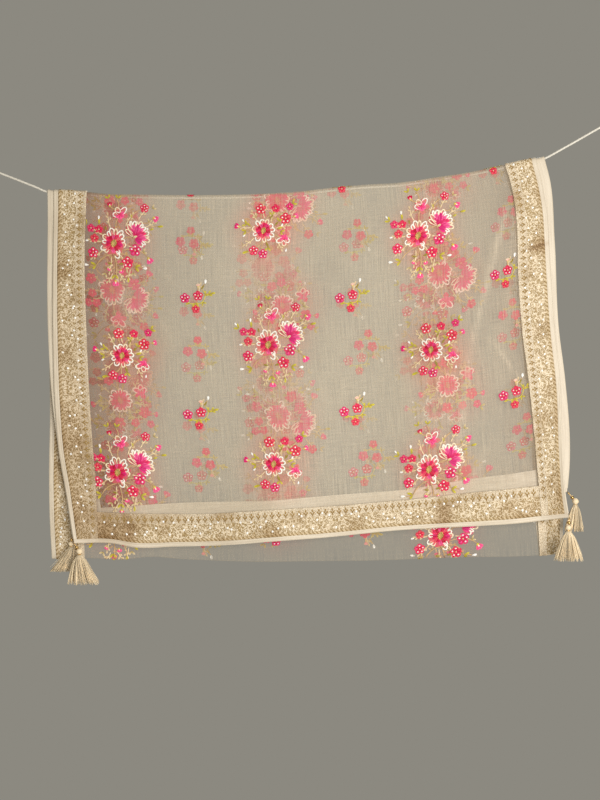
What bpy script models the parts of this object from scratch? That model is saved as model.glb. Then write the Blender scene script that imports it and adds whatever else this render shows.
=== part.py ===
"""A net dupatta, folded in half and hung doubled over a thin line.

X runs along the line, -Y is the front and +Z is up. The origin is on the line's axis at the
middle of the cloth. Lengths in the tables are millimetres, and MM turns them into metres.

The cloth hangs in four layers. From the front they are front, front_under, back_under and back.
The front and the back are one stretch over the crest, and so are the two between them. The two
back layers meet again in a fold at the bottom. Every layer is one surface, worked out from its
side edges, its end and its distance from the line's plane, and every piece is cut from it.
"""

import math
from collections import namedtuple

import bmesh
import bpy
import numpy as np
from mathutils import Matrix, Vector

MM = 0.001

# Driving dimensions
WALL = 1.0 * MM
SEAM_GAP = 0.3 * MM
CREST_GAP = 0.9 * MM
FOLD_GAP = 0.9 * MM
LINE_RADIUS = 1.9 * MM
BORDER_WIDTH = 57 * MM
PIPING_WIDTH = 8 * MM
FACING_HEIGHT = 48 * MM
NET_WIDTH = 756 * MM
LACE_STEP = WALL + SEAM_GAP

# How far the layers keep from the line's axis at the crest, and from its plane below it
INNER_ARC = LINE_RADIUS + SEAM_GAP + LACE_STEP + WALL / 2
OUTER_ARC = INNER_ARC + WALL + 0.4 * MM
REST_DISTANCE = 6.5 * MM
PAIR_GAP = 3.0 * MM
FOLD_RADIUS = 1.9 * MM
SETTLE_DROP = 80 * MM
FOLD_SETTLE = 70 * MM

# The outline's first guess of a layer's drop, and how often it is bettered
FIRST_DROP = 550 * MM
OUTLINE_PASSES = 5

# Grid steps of the walls, which the layers share so that they lie alike
ARC_ROWS = 3
HANG_ROWS = 14
HANG_DROP = 632 * MM
END_ROWS = 2
NET_COLUMNS = 18
NET_FIRST_COLUMN = -347 * MM
NET_LAST_COLUMN = 341 * MM

# Route of the line, and so of the crest above it: x, z
LINE = [
    (-552, 51),
    (-511, 36),
    (-470, 20),
    (-450, 12),
    (-438, 6.5),
    (-426, 3.4),
    (-400, 1.4),
    (-366, -0.4),
    (-330, -3.8),
    (-290, -4.6),
    (-167, -6),
    (-69, -4),
    (0, 0),
    (72, 8),
    (119, 12),
    (177, 15.5),
    (239, 24.5),
    (298, 33.5),
    (358, 46),
    (406, 56.5),
    (428, 62),
    (438, 67),
    (454, 76),
    (479, 90),
    (521, 114),
    (556, 133),
]

# Side edges of the layers, from the bottom up: z, x
FRONT_LEFT = [(-604, -381), (-533, -393), (-443, -410), (-383, -415), (-235, -420), (4, -420)]
FRONT_LEFT_SEAM = [(-604, -341), (-502, -347), (-383, -356), (-235, -363), (-80, -366), (4, -363)]
FRONT_RIGHT_SEAM = [
    (-560, 419),
    (-503, 414),
    (-412, 406),
    (-314, 397),
    (-235, 387),
    (-146, 380),
    (-27, 375),
    (26, 366),
    (50, 358),
]
FRONT_RIGHT = [
    (-558, 463),
    (-505, 456),
    (-452, 454),
    (-321, 453),
    (-235, 445),
    (-79, 435),
    (-27, 431),
    (26, 421),
    (61, 412),
]
UNDER_LEFT = [(-596, -387), (-528, -397), (-442, -411), (-338, -423), (-235, -429), (4, -431)]
UNDER_RIGHT = [(-517, 466), (-470, 470), (-321, 463), (-235, 453), (-79, 446), (26, 437), (64, 427)]
BACK_LEFT = [(-634, -425), (-558, -429), (-493, -430), (-383, -428), (-235, -430), (6, -430)]
BACK_RIGHT = [(-630, 464), (-562, 466), (-452, 463), (-235, 448), (-80, 440), (62, 425)]
BACK_RIGHT_SEAM = [(-630, 421), (-562, 417), (-452, 411), (-235, 393), (-80, 384), (62, 368)]
REAR_INSET = 2.5

# End of the front layer, its hem and the seam above it: x, z
FRONT_HEM = [
    (-381, -601),
    (-312, -603),
    (-284, -609),
    (-208, -609),
    (-115, -605),
    (-48, -599),
    (41, -593),
    (177, -580),
    (320, -572),
    (409, -564),
    (463, -555),
]
FRONT_END_SEAM = [
    (-345, -548),
    (-270, -551),
    (-167, -552),
    (-48, -544),
    (88, -536),
    (177, -528),
    (291, -516),
    (409, -503),
]
# End seam of the layer under it, whose hem lies a facing's height lower: x, z
UNDER_END_SEAM = [
    (-387, -545),
    (-334, -541),
    (-187, -533),
    (-48, -528),
    (88, -518),
    (177, -511),
    (291, -493),
    (409, -476),
    (466, -466),
]
# Lowest line of the fold that joins the two back layers: x, z
BACK_FOLD = [
    (-425, -630),
    (-356, -630),
    (-300, -633),
    (-261, -629),
    (-200, -633),
    (79, -635),
    (177, -634),
    (291, -629),
    (401, -626),
    (464, -622),
]

Fold = namedtuple("Fold", "x_top z_top x_low z_low width depth")
# Share of a ridge's length that it runs on past each end, and over which it fades
FOLD_OVERRUN = 0.15
FOLD_FADE = 0.45

# Ridges of the front pair, away from the line's plane
FRONT_FOLDS = [
    Fold(-330, -30, -285, -600, 34, 7),
    Fold(-215, -60, -230, -420, 46, 4),
    Fold(-60, -240, -35, -620, 40, 6),
    Fold(90, -20, 60, -330, 50, 5),
    Fold(215, -180, 205, -600, 48, 6),
    Fold(352, 20, 330, -330, 34, 7),
    Fold(395, -330, 350, -560, 44, 5),
]
# Ridges of the front layer alone, where it stands off the layer under it
LOOSE_FOLDS = [
    Fold(-150, -260, -130, -600, 44, 3),
    Fold(20, -380, 110, -580, 40, 4),
    Fold(290, -60, 300, -420, 40, 3),
]
# Ridges of the back pair
BACK_FOLDS = [
    Fold(-370, -60, -330, -600, 40, 6),
    Fold(-170, -140, -140, -640, 48, 6),
    Fold(30, -60, 10, -460, 44, 5),
    Fold(150, -300, 165, -640, 44, 7),
    Fold(347, -40, 300, -400, 40, 8),
    Fold(400, -420, 390, -630, 44, 5),
]
# Ridges of the back layer alone
REAR_FOLDS = [
    Fold(-260, -80, -250, -520, 46, 4),
    Fold(90, -120, 80, -500, 50, 4),
    Fold(250, -200, 240, -560, 46, 3),
]

Turn = namedtuple("Turn", "x_flat x_edge z_start z_full depth")

# Corners whose side border swings out of the cloth's plane
FRONT_TURNS = [Turn(396, 463, -280, -520, 26), Turn(-330, -392, -470, -600, 13)]
BACK_TURNS = [Turn(404, 466, -380, -600, 18)]

Wave = namedtuple("Wave", "length lean start depth")

# Slow sway that all the layers share
SWAY = [Wave(410, 0.25, 60, 5.0), Wave(233, -0.4, 20, 2.2)]

Layer = namedtuple("Layer", "name face arc left left_seam right_seam right end_seam end")

Tassel = namedtuple(
    "Tassel", "name layer side x z knob top_half end_half end_depth lean length"
)

TASSELS = [
    Tassel("tassel_left_under", "front_under", 0, -389, -603, 4.4, 6.5, 20, 6, -17, 42),
    Tassel("tassel_left_front", "front", 0, -372, -614, 5.2, 8.5, 28, 9, 6, 50),
    Tassel("tassel_right_front", "front", 3, 461, -572, 4.8, 7.5, 28, 9, 1, 54),
    Tassel("tassel_right_under", "front_under", 3, 480, -530, 5.4, 6.5, 17, 6, -2, 45),
]
STRAND_COLUMNS = 6
STRAND_ROWS = 4
STRAND_INSET = 0.3 * MM
# Shares of the head's half width, of the tassel's length and of a strand's reach
HEAD_DEPTH = 0.62
HEAD_LENGTH = 0.22
STRAND_UNEVEN = 0.05
# How far down each stretch of a strand ends, and how thin it is there
STRAND_STAGES = [(0.5, 0.92), (1.0, 0.8)]
SPREAD_POWER = 0.8
LEAN_POWER = 1.3

BEAD_RADIUS = 3.2 * MM
BEAD_STEPS = 12

# Points along the line, and the knot and loop at each end
KNOT_RADIUS = 4.5 * MM
KNOT_LENGTH = 8 * MM
LOOP_RADIUS = 12 * MM
LINE_POINTS = 60

COLOURS = {
    "net": (0.60, 0.50, 0.38),
    "satin": (0.80, 0.72, 0.58),
    "lace": (0.66, 0.50, 0.27),
    "silk": (0.72, 0.58, 0.38),
    "bead": (0.72, 0.52, 0.22),
    "line": (0.82, 0.81, 0.77),
}
FINISHES = {
    "net": (0.7, 0.0),
    "satin": (0.42, 0.0),
    "lace": (0.45, 0.5),
    "silk": (0.5, 0.0),
    "bead": (0.28, 0.9),
    "line": (0.6, 0.0),
}


def clear_scene():
    for item in list(bpy.data.objects):
        bpy.data.objects.remove(item, do_unlink=True)


def make_collection(name):
    collection = bpy.data.collections.new(name)
    bpy.context.scene.collection.children.link(collection)
    return collection


def make_material(name):
    material = bpy.data.materials.new(name)
    material.use_nodes = True
    shader = material.node_tree.nodes["Principled BSDF"]
    roughness, metallic = FINISHES[name]
    shader.inputs["Base Color"].default_value = (*COLOURS[name], 1)
    shader.inputs["Roughness"].default_value = roughness
    shader.inputs["Metallic"].default_value = metallic
    return material


def smooth(value):
    """Runs from 0 to 1 with no corner at either end."""
    value = np.clip(value, 0, 1)
    return value * value * (3 - 2 * value)


def curve(table, at):
    """Smooth curve through the rows of a table in mm, read and given in metres."""
    place, value = np.array(table, float).T * MM
    slope = np.gradient(value, place)
    at = np.clip(at, place[0], place[-1])
    row = np.clip(np.searchsorted(place, at, side="right") - 1, 0, len(place) - 2)
    span = place[row + 1] - place[row]
    part = (at - place[row]) / span
    return (
        value[row]
        + part * part * (3 - 2 * part) * (value[row + 1] - value[row])
        + part * (1 - part) ** 2 * span * slope[row]
        - part * part * (1 - part) * span * slope[row + 1]
    )


def fold_depth(folds, x, z):
    """Sum of soft ridges, each highest along a slanting line and fading out at its two ends."""
    total = np.zeros_like(x)
    for fold in folds:
        x_top, z_top, x_low, z_low, width, depth = np.array(fold) * MM
        down = (z_top - z) / (z_top - z_low)
        across = x - (x_top + (x_low - x_top) * down)
        start = smooth((down + FOLD_OVERRUN) / FOLD_FADE)
        fade = start * smooth((1 + FOLD_OVERRUN - down) / FOLD_FADE)
        total += depth * fade * np.exp(-((across / width) ** 2))
    return total


def turn_depth(turns, x, z):
    """A corner's swing: nothing at the border's seam, growing as a square towards its edge."""
    total = np.zeros_like(x)
    for turn in turns:
        x_flat, x_edge, z_start, z_full, depth = np.array(turn) * MM
        out = np.clip((x - x_flat) / (x_edge - x_flat), 0, 1.2)
        total += depth * out**2 * smooth((z_start - z) / (z_start - z_full))
    return total


def sway_depth(x, z):
    total = np.zeros_like(x)
    for wave in SWAY:
        turns = (x / MM + wave.lean * z / MM + wave.start) / wave.length
        total += wave.depth * MM * np.sin(2 * math.pi * turns)
    return total


def distances(x, z):
    """Each layer's distance from the line's plane, front pair first, and the sway they share."""
    settled = smooth((curve(LINE, x) - z) / SETTLE_DROP)
    above_fold = smooth((z - curve(BACK_FOLD, x)) / FOLD_SETTLE)
    front_under = REST_DISTANCE + fold_depth(FRONT_FOLDS, x, z)
    front = front_under + PAIR_GAP + fold_depth(LOOSE_FOLDS, x, z) + turn_depth(FRONT_TURNS, x, z)
    back_under = REST_DISTANCE + fold_depth(BACK_FOLDS, x, z) + turn_depth(BACK_TURNS, x, z)
    rear_gap = 2 * FOLD_RADIUS + above_fold * fold_depth(REAR_FOLDS, x, z)
    hanging = {
        "front": front,
        "front_under": front_under,
        "back_under": back_under,
        "back": back_under + rear_gap,
    }
    arcs = {layer.name: layer.arc for layer in LAYERS.values()}
    out = {name: arcs[name] + settled * (hanging[name] - arcs[name]) for name in hanging}
    return out, settled * sway_depth(x, z)


def shifted(table, by):
    """The same table with its second column moved."""
    return [(place, value + by) for place, value in table]


def make_layers():
    """The four layers. face is -1 in front of the line and 1 behind it."""
    border = BORDER_WIDTH / MM
    under_hem = shifted(UNDER_END_SEAM, -FACING_HEIGHT / MM)
    fold_start = shifted(BACK_FOLD, FOLD_RADIUS / MM)
    rows = [
        Layer("front", -1, OUTER_ARC, FRONT_LEFT, FRONT_LEFT_SEAM, FRONT_RIGHT_SEAM, FRONT_RIGHT,
              FRONT_END_SEAM, FRONT_HEM),
        Layer("front_under", -1, INNER_ARC, UNDER_LEFT, shifted(UNDER_LEFT, border),
              shifted(UNDER_RIGHT, -border), UNDER_RIGHT, UNDER_END_SEAM, under_hem),
        Layer("back_under", 1, INNER_ARC, BACK_LEFT, shifted(BACK_LEFT, border),
              BACK_RIGHT_SEAM, BACK_RIGHT, fold_start, BACK_FOLD),
        Layer("back", 1, OUTER_ARC, shifted(BACK_LEFT, REAR_INSET),
              shifted(BACK_LEFT, border + REAR_INSET), shifted(BACK_RIGHT_SEAM, -REAR_INSET),
              shifted(BACK_RIGHT, -REAR_INSET), fold_start, BACK_FOLD),
    ]
    return {layer.name: layer for layer in rows}


def across(layer, u, z):
    """x at a height. u is 0 at the left edge, 1 and 2 at the two seams and 3 at the right edge."""
    edges = [curve(edge, z) for edge in (layer.left, layer.left_seam, layer.right_seam, layer.right)]
    first = edges[0] + np.clip(u, 0, 1) * (edges[1] - edges[0])
    middle = np.clip(u - 1, 0, 1) * (edges[2] - edges[1])
    return first + middle + np.clip(u - 2, 0, 1) * (edges[3] - edges[2])


def surface(layer, u, t):
    """Point of a layer. t runs -1 at the crest, 0 beside the line, 1 at the end seam, 2 at the end.

    Over the crest it is a quarter circle round the line. Below it hangs at its distance from the
    line's plane. On the back layers the last stretch is a quarter circle into the bottom fold.
    """
    u, t = np.broadcast_arrays(np.asarray(u, float), np.asarray(t, float))
    hang, end = np.clip(t, 0, 1), np.clip(t - 1, 0, 1)
    z = -FIRST_DROP * hang
    for _ in range(OUTLINE_PASSES):
        x = across(layer, u, z)
        line, seam = curve(LINE, x), curve(layer.end_seam, x)
        z = line + hang * (seam - line)
        if layer.face < 0:
            z = z + end * (curve(layer.end, x) - seam)
    out, sway = distances(x, z)
    y = layer.face * out[layer.name] + sway
    crest = np.clip(-t, 0, 1) * math.pi / 2
    y = np.where(t < 0, layer.face * layer.arc * np.cos(crest), y)
    z = np.where(t < 0, line + layer.arc * np.sin(crest), z)
    if layer.face > 0:
        middle = (out["back_under"] + out["back"]) / 2 + sway
        radius = y - middle
        y = np.where(t > 1, middle + radius * np.cos(end * math.pi / 2), y)
        z = np.where(t > 1, seam - np.abs(radius) * np.sin(end * math.pi / 2), z)
    return np.stack([x, y, z], axis=-1)


def moved_out(layer, u, t, distance):
    """Point of a layer moved along its normal to the cloth's right side."""
    u, t = np.broadcast_arrays(np.asarray(u, float), np.asarray(t, float))
    step = 1e-3
    along_u = surface(layer, u + step, t) - surface(layer, u - step, t)
    along_t = surface(layer, u, np.minimum(t + step, 2)) - surface(layer, u, np.maximum(t - step, -1))
    normal = np.cross(along_u, along_t)
    normal /= np.linalg.norm(normal, axis=-1, keepdims=True)
    right_side = -1 if layer.name in ("front", "back_under") else 1
    return surface(layer, u, t) + right_side * distance * normal


def finish(name, mesh, material, collection):
    mesh.materials.append(bpy.data.materials[material])
    made = bpy.data.objects.new(name, mesh)
    collection.objects.link(made)
    mesh.shade_smooth()
    return made


def wall(name, layer, columns, rows, distance, material, collection):
    """A piece of a layer: a grid over the given u and t steps, thickened evenly to both sides."""
    grid = bmesh.new()
    bmesh.ops.create_grid(grid, x_segments=len(columns) - 1, y_segments=len(rows) - 1, size=1)
    mesh = bpy.data.meshes.new(name)
    grid.to_mesh(mesh)
    grid.free()
    flat = np.empty(len(mesh.vertices) * 3)
    mesh.vertices.foreach_get("co", flat)
    place = (flat.reshape(-1, 3)[:, :2] + 1) / 2
    u = np.interp(place[:, 0], np.linspace(0, 1, len(columns)), columns)
    t = np.interp(place[:, 1], np.linspace(0, 1, len(rows)), rows)
    mesh.vertices.foreach_set("co", moved_out(layer, u, t, distance).ravel())
    made = finish(name, mesh, material, collection)
    thicken = made.modifiers.new("Wall", "SOLIDIFY")
    thicken.thickness = WALL
    thicken.offset = 0
    return made


def row_steps(layer, last):
    """t of the rows from the crest down: through the arc, down the cloth, and to last."""
    crest = -1 + CREST_GAP / (layer.arc * math.pi)
    arc = np.linspace(crest, 0, ARC_ROWS + 1)[:-1]
    drops = HANG_DROP * (np.arange(HANG_ROWS) / HANG_ROWS) ** 1.2
    hang = drops / float(-curve(layer.end_seam, 0.0))
    hang = hang[hang < 0.97]
    if last <= 1:
        return [*arc, *hang, last]
    return [*arc, *hang, 1, *np.linspace(1, last, END_ROWS + 1)[1:]]


def net_steps(layer):
    """u of the net's columns: its two seams, and between them the same x in every layer."""
    gap = SEAM_GAP / NET_WIDTH
    left = curve(layer.left_seam, curve(LINE, NET_FIRST_COLUMN))
    right = curve(layer.right_seam, curve(LINE, NET_LAST_COLUMN))
    inner = np.linspace(NET_FIRST_COLUMN, NET_LAST_COLUMN, NET_COLUMNS - 1)
    return [1 + gap, *(1 + (inner - left) / (right - left)), 2 - gap]


def last_row(layer):
    """t of the last row: the hem in front, and just short of the fold's lowest line behind."""
    if layer.face < 0:
        return 2
    return 2 - FOLD_GAP / (FOLD_RADIUS * math.pi)


def make_cloth(collection):
    """Net, satin and lace of each layer, with end strips where a layer ends in a hem."""
    piping = PIPING_WIDTH / BORDER_WIDTH
    middle = (1 + piping) / 2
    row_gap = SEAM_GAP / abs(FRONT_END_SEAM[0][1] * MM)
    for layer in LAYERS.values():
        hemmed = layer.face < 0
        full = row_steps(layer, last_row(layer))
        short = row_steps(layer, 1 - row_gap) if hemmed else full
        net = net_steps(layer)
        sides = {
            "left": [0, piping, middle, 1],
            "right": [2, 3 - middle, 3 - piping, 3],
        }
        lace = {"left": sides["left"][1:], "right": sides["right"][:-1]}
        wall(f"net_{layer.name}", layer, net, short, 0, "net", collection)
        for side in sides:
            wall(f"satin_{side}_{layer.name}", layer, sides[side], full, 0, "satin", collection)
            wall(f"lace_{side}_{layer.name}", layer, lace[side], full, LACE_STEP, "lace", collection)
        if hemmed:
            to_piping = 2 - PIPING_WIDTH / FACING_HEIGHT
            wall(f"satin_end_{layer.name}", layer, net, [1, to_piping, 2], 0, "satin", collection)
            wall(f"lace_end_{layer.name}", layer, net, [1, to_piping], LACE_STEP, "lace", collection)


def tube(name, points, radius, material, collection):
    """A round cord through smooth points."""
    data = bpy.data.curves.new(name, "CURVE")
    data.dimensions = "3D"
    data.bevel_depth = radius
    data.bevel_resolution = 2
    data.use_fill_caps = True
    spline = data.splines.new("POLY")
    spline.points.add(len(points) - 1)
    for point, place in zip(spline.points, points):
        point.co = (*place, 1)
    data.materials.append(bpy.data.materials[material])
    made = bpy.data.objects.new(name, data)
    collection.objects.link(made)
    return made


def make_line(collection):
    """The line, and at each end a knot with the loop that it is hung by."""
    ends = [LINE[0][0] * MM, LINE[-1][0] * MM]
    x = np.linspace(ends[0], ends[1], LINE_POINTS)
    points = np.stack([x, np.zeros_like(x), curve(LINE, x)], axis=-1)
    tube("line", points, LINE_RADIUS, "line", collection)
    for side, tip, before in (("left", points[0], points[1]), ("right", points[-1], points[-2])):
        away = Vector(tip - before).normalized()
        turn = away.to_track_quat("X", "Z").to_matrix().to_4x4()
        centre = Vector(tip) + away * (SEAM_GAP + KNOT_LENGTH / 2)
        knot = bmesh.new()
        stretch = Matrix.Diagonal((KNOT_LENGTH / 2, KNOT_RADIUS, KNOT_RADIUS, 1))
        bmesh.ops.create_uvsphere(
            knot, u_segments=12, v_segments=8, radius=1,
            matrix=Matrix.Translation(centre) @ turn @ stretch,
        )
        mesh = bpy.data.meshes.new(f"line_knot_{side}")
        knot.to_mesh(mesh)
        knot.free()
        finish(mesh.name, mesh, "line", collection)
        reach = SEAM_GAP + KNOT_LENGTH / 2 + LOOP_RADIUS + LINE_RADIUS
        bpy.ops.mesh.primitive_torus_add(
            major_radius=LOOP_RADIUS, minor_radius=LINE_RADIUS,
            major_segments=20, minor_segments=8,
        )
        loop = bpy.context.object
        loop.name = loop.data.name = f"line_loop_{side}"
        loop.data.transform(
            Matrix.Translation(centre + away * reach) @ turn @ Matrix.Rotation(math.pi / 2, 4, "X")
        )
        loop.data.materials.append(bpy.data.materials["line"])
        loop.data.shade_smooth()
        for held in list(loop.users_collection):
            held.objects.unlink(loop)
        collection.objects.link(loop)


def tassel_place(row):
    """Centre of a tassel's knob: under its corner, at the corner's own depth."""
    corner = surface(LAYERS[row.layer], float(row.side), 2.0)
    return corner, Vector((row.x * MM, float(corner[1]), row.z * MM))


def make_tassel(row, collection):
    """One silk tassel: a turned knob and neck over a head, whose underside is a grid of strands.

    The grid's squares are each drawn in and pulled down, so the strands stand apart below and are
    one with the head at their roots.
    """
    knob, top_half = row.knob * MM, row.top_half * MM
    end_half, end_depth = row.end_half * MM, row.end_depth * MM
    lean, length = row.lean * MM, row.length * MM
    top_depth = HEAD_DEPTH * top_half
    root = -knob - HEAD_LENGTH * length
    body = bmesh.new()
    bmesh.ops.create_grid(body, x_segments=STRAND_COLUMNS, y_segments=STRAND_ROWS, size=1)
    bmesh.ops.reverse_faces(body, faces=body.faces)
    for vert in body.verts:
        i, j = vert.co.x, vert.co.y
        round_i = i * math.sqrt(1 - j * j / 2)
        round_j = j * math.sqrt(1 - i * i / 2)
        vert.co = (round_i * top_half, round_j * top_depth, root)
    squares = list(body.faces)
    rim = [edge for edge in body.edges if edge.is_boundary]
    # Width as a share of the head's, and height, up the outside of head, neck and knob
    outline = [
        (0.86, 0.45 * root - 0.55 * knob),
        (0.36, -0.96 * knob),
        (0.62, -0.70 * knob),
        (0.98, 0.0),
        (0.84, 0.55 * knob),
        (0.45, 0.89 * knob),
    ]
    for share, height in outline:
        grown = bmesh.ops.extrude_edge_only(body, edges=rim)["geom"]
        ring = [item for item in grown if isinstance(item, bmesh.types.BMVert)]
        rim = [item for item in grown if isinstance(item, bmesh.types.BMEdge)]
        is_head = height < -knob
        for vert in ring:
            angle = math.atan2(vert.co.y / top_depth, vert.co.x / top_half)
            half = share * (top_half if is_head else knob)
            deep = share * (top_depth if is_head else knob)
            vert.co = (half * math.cos(angle), deep * math.sin(angle), height)
    bmesh.ops.pointmerge(body, verts=ring, merge_co=(0, 0, knob))
    bmesh.ops.inset_individual(body, faces=squares, thickness=STRAND_INSET)
    roots = {face: face.calc_center_median().copy() for face in squares}
    for stage, thin in STRAND_STAGES:
        ends = bmesh.ops.extrude_discrete_faces(body, faces=squares)["faces"]
        moved = {}
        for old, face in zip(squares, ends):
            start = roots[old]
            share = Vector((start.x / top_half, start.y / top_depth))
            centre = face.calc_center_median()
            spread = stage**SPREAD_POWER
            uneven = 1 + STRAND_UNEVEN * math.sin(37 * share.x + 23 * share.y)
            goal = Vector((
                start.x + (share.x * end_half - start.x) * spread + lean * stage**LEAN_POWER,
                start.y + (share.y * end_depth - start.y) * spread,
                root + (-length - knob - root) * stage * uneven,
            ))
            for vert in face.verts:
                vert.co = goal + (vert.co - centre) * thin
            moved[face] = start
        squares, roots = ends, moved
    mesh = bpy.data.meshes.new(row.name)
    _, centre = tassel_place(row)
    body.transform(Matrix.Translation(centre))
    bmesh.ops.recalc_face_normals(body, faces=body.faces)
    body.to_mesh(mesh)
    body.free()
    return finish(row.name, mesh, "silk", collection)


def make_hanger(row, collection):
    """The bead and thread between a cloth corner and its tassel's knob, turned about their line."""
    corner, centre = tassel_place(row)
    start = Vector(corner)
    away = (centre - start).normalized()
    clear = SEAM_GAP + WALL / 2
    reach = (centre - start).length - clear - row.knob * MM - SEAM_GAP
    bead = min(BEAD_RADIUS, reach / 2)
    # Distance along the hanger as a share of its reach, and radius
    profile = [
        (0.0, 0.0),
        (0.02, 0.7 * MM),
        (0.35, 0.8 * MM),
        (0.45, 0.75 * bead),
        (0.68, bead),
        (0.9, 0.75 * bead),
        (1.0, 0.0),
    ]
    data = bpy.data.meshes.new(row.name.replace("tassel", "bead"))
    points = [(radius, 0, -share * reach) for share, radius in profile]
    data.from_pydata(points, [(i, i + 1) for i in range(len(points) - 1)], [])
    data.materials.append(bpy.data.materials["bead"])
    made = bpy.data.objects.new(data.name, data)
    collection.objects.link(made)
    made.matrix_world = (
        Matrix.Translation(start + away * clear) @ away.to_track_quat("-Z", "Y").to_matrix().to_4x4()
    )
    turn = made.modifiers.new("Turned", "SCREW")
    turn.steps = turn.render_steps = BEAD_STEPS
    turn.use_merge_vertices = True
    turn.merge_threshold = 1e-5
    turn.use_normal_calculate = True
    return made


LAYERS = make_layers()


def main():
    clear_scene()
    for name in COLOURS:
        make_material(name)
    stole = make_collection("dupatta stole")
    make_cloth(stole)
    make_line(stole)
    for row in TASSELS:
        make_tassel(row, stole)
        make_hanger(row, stole)


main()
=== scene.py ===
"""Looks of a net dupatta that hangs doubled over a thin line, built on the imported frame.

X runs along the line, -Y is the front and +Z is up. The tables are in millimetres, and MM turns
them into metres. One length of cloth hangs in four layers. From the front they are front,
front_under, back_under and back, and every piece of cloth runs on through all four of them.
"""

import math
from collections import namedtuple

import bpy
import numpy as np
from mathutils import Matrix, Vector


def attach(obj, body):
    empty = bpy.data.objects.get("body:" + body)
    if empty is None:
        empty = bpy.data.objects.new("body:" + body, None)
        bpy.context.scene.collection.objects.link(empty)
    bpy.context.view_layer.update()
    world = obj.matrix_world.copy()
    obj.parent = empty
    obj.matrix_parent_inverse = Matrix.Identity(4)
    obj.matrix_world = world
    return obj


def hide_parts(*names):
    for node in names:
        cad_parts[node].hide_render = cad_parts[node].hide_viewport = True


MM = 0.001

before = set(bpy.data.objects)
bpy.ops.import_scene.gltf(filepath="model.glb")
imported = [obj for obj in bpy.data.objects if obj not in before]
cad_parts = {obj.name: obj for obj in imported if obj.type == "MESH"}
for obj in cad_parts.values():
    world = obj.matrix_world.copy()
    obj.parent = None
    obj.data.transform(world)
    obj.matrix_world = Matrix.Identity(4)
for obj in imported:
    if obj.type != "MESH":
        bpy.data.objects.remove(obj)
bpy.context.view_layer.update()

# Room and camera
# A plain pale floor far below, soft light from the front and the right, and a camera that
# looks straight at the cloth from 1.9 m away.

CLOTH_PLANE = -12 * MM
VIEW_MIDDLE = (5.2 * MM, -355.5 * MM)
VIEW_HEIGHT = 1.376
LENS = 50
SENSOR = 36
FLOOR_HEIGHT = -1.6
FLOOR_RADIUS = 1.2
FLOOR_SIDES = 96
ROOM_COLOUR = (0.262, 0.250, 0.216)
LIT_PLACE = (0, 0, -0.35)


def new_finish(name, colour, roughness, **sockets):
    """A Principled material whose even values are set on the shader's own sockets."""
    material = bpy.data.materials.new(name)
    material.use_nodes = True
    shader = material.node_tree.nodes["Principled BSDF"]
    shader.inputs["Base Color"].default_value = (*colour, 1)
    shader.inputs["Roughness"].default_value = roughness
    for socket, value in sockets.items():
        shader.inputs[socket.replace("_", " ")].default_value = value
    return material


def add_node(material, kind, inputs=(), **settings):
    """Adds a node. An input that is given as a socket is linked, and any other is its value."""
    made = material.node_tree.nodes.new("ShaderNode" + kind)
    for key, value in settings.items():
        setattr(made, key, value)
    for key, value in dict(inputs).items():
        if isinstance(value, bpy.types.NodeSocket):
            material.node_tree.links.new(value, made.inputs[key])
        else:
            made.inputs[key].default_value = value
    return made


def link_shader(material, **sockets):
    """Links node outputs to the Principled shader's sockets of those names."""
    shader = material.node_tree.nodes["Principled BSDF"]
    for socket, value in sockets.items():
        material.node_tree.links.new(value, shader.inputs[socket.replace("_", " ")])


def cloth_map(material):
    """The map of a piece of cloth: lengths in metres along it and across it."""
    return add_node(material, "UVMap", uv_map="cloth").outputs["UV"]


def own_colour(material):
    """The colours that the points of a piece carry."""
    return add_node(material, "Attribute", attribute_name="thread").outputs["Color"]


def stretched(material, at, scale):
    """A place with each of its coordinates multiplied by a scale of its own."""
    return add_node(material, "Mapping", {"Vector": at, "Scale": scale}).outputs["Vector"]


def noise(material, at, scale, detail):
    """Soft noise, finer with a larger scale."""
    return add_node(
        material, "TexNoise", {"Vector": at, "Scale": scale, "Detail": detail}
    ).outputs["Fac"]


def calculated(material, operation, *values):
    """The result of one Math node."""
    return add_node(
        material, "Math", dict(enumerate(values)), operation=operation
    ).outputs["Value"]


def bumped(material, height, strength, distance):
    """A normal tilted as if the surface rose by a height from 0 to 1 times a distance."""
    return add_node(
        material, "Bump", {"Height": height, "Strength": strength, "Distance": distance}
    ).outputs["Normal"]


def place(obj, at, towards):
    """Puts a lamp or camera at a place, turned towards another."""
    obj.location = at
    direction = np.subtract(towards, at)
    obj.rotation_euler = Vector(direction).to_track_quat("-Z", "Y").to_euler()
    bpy.context.scene.collection.objects.link(obj)


floor_ring = np.linspace(0, 2 * math.pi, FLOOR_SIDES, endpoint=False)
floor_points = np.stack([np.cos(floor_ring), np.sin(floor_ring), 0 * floor_ring], -1) * FLOOR_RADIUS
floor_mesh = bpy.data.meshes.new("floor")
floor_points += (0, 0, FLOOR_HEIGHT)
floor_mesh.from_pydata(floor_points.tolist(), [], [list(range(FLOOR_SIDES))])
floor = bpy.data.objects.new("floor", floor_mesh)
floor_mesh.materials.append(new_finish("pale floor", (0.62, 0.6, 0.56), 0.8))
bpy.context.scene.collection.objects.link(floor)

world = bpy.data.worlds.new("room")
world.use_nodes = True
world.node_tree.nodes["Background"].inputs["Color"].default_value = (*ROOM_COLOUR, 1)
world.node_tree.nodes["Background"].inputs["Strength"].default_value = 1.0
bpy.context.scene.world = world
bpy.context.scene.view_settings.view_transform = "Standard"

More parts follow.
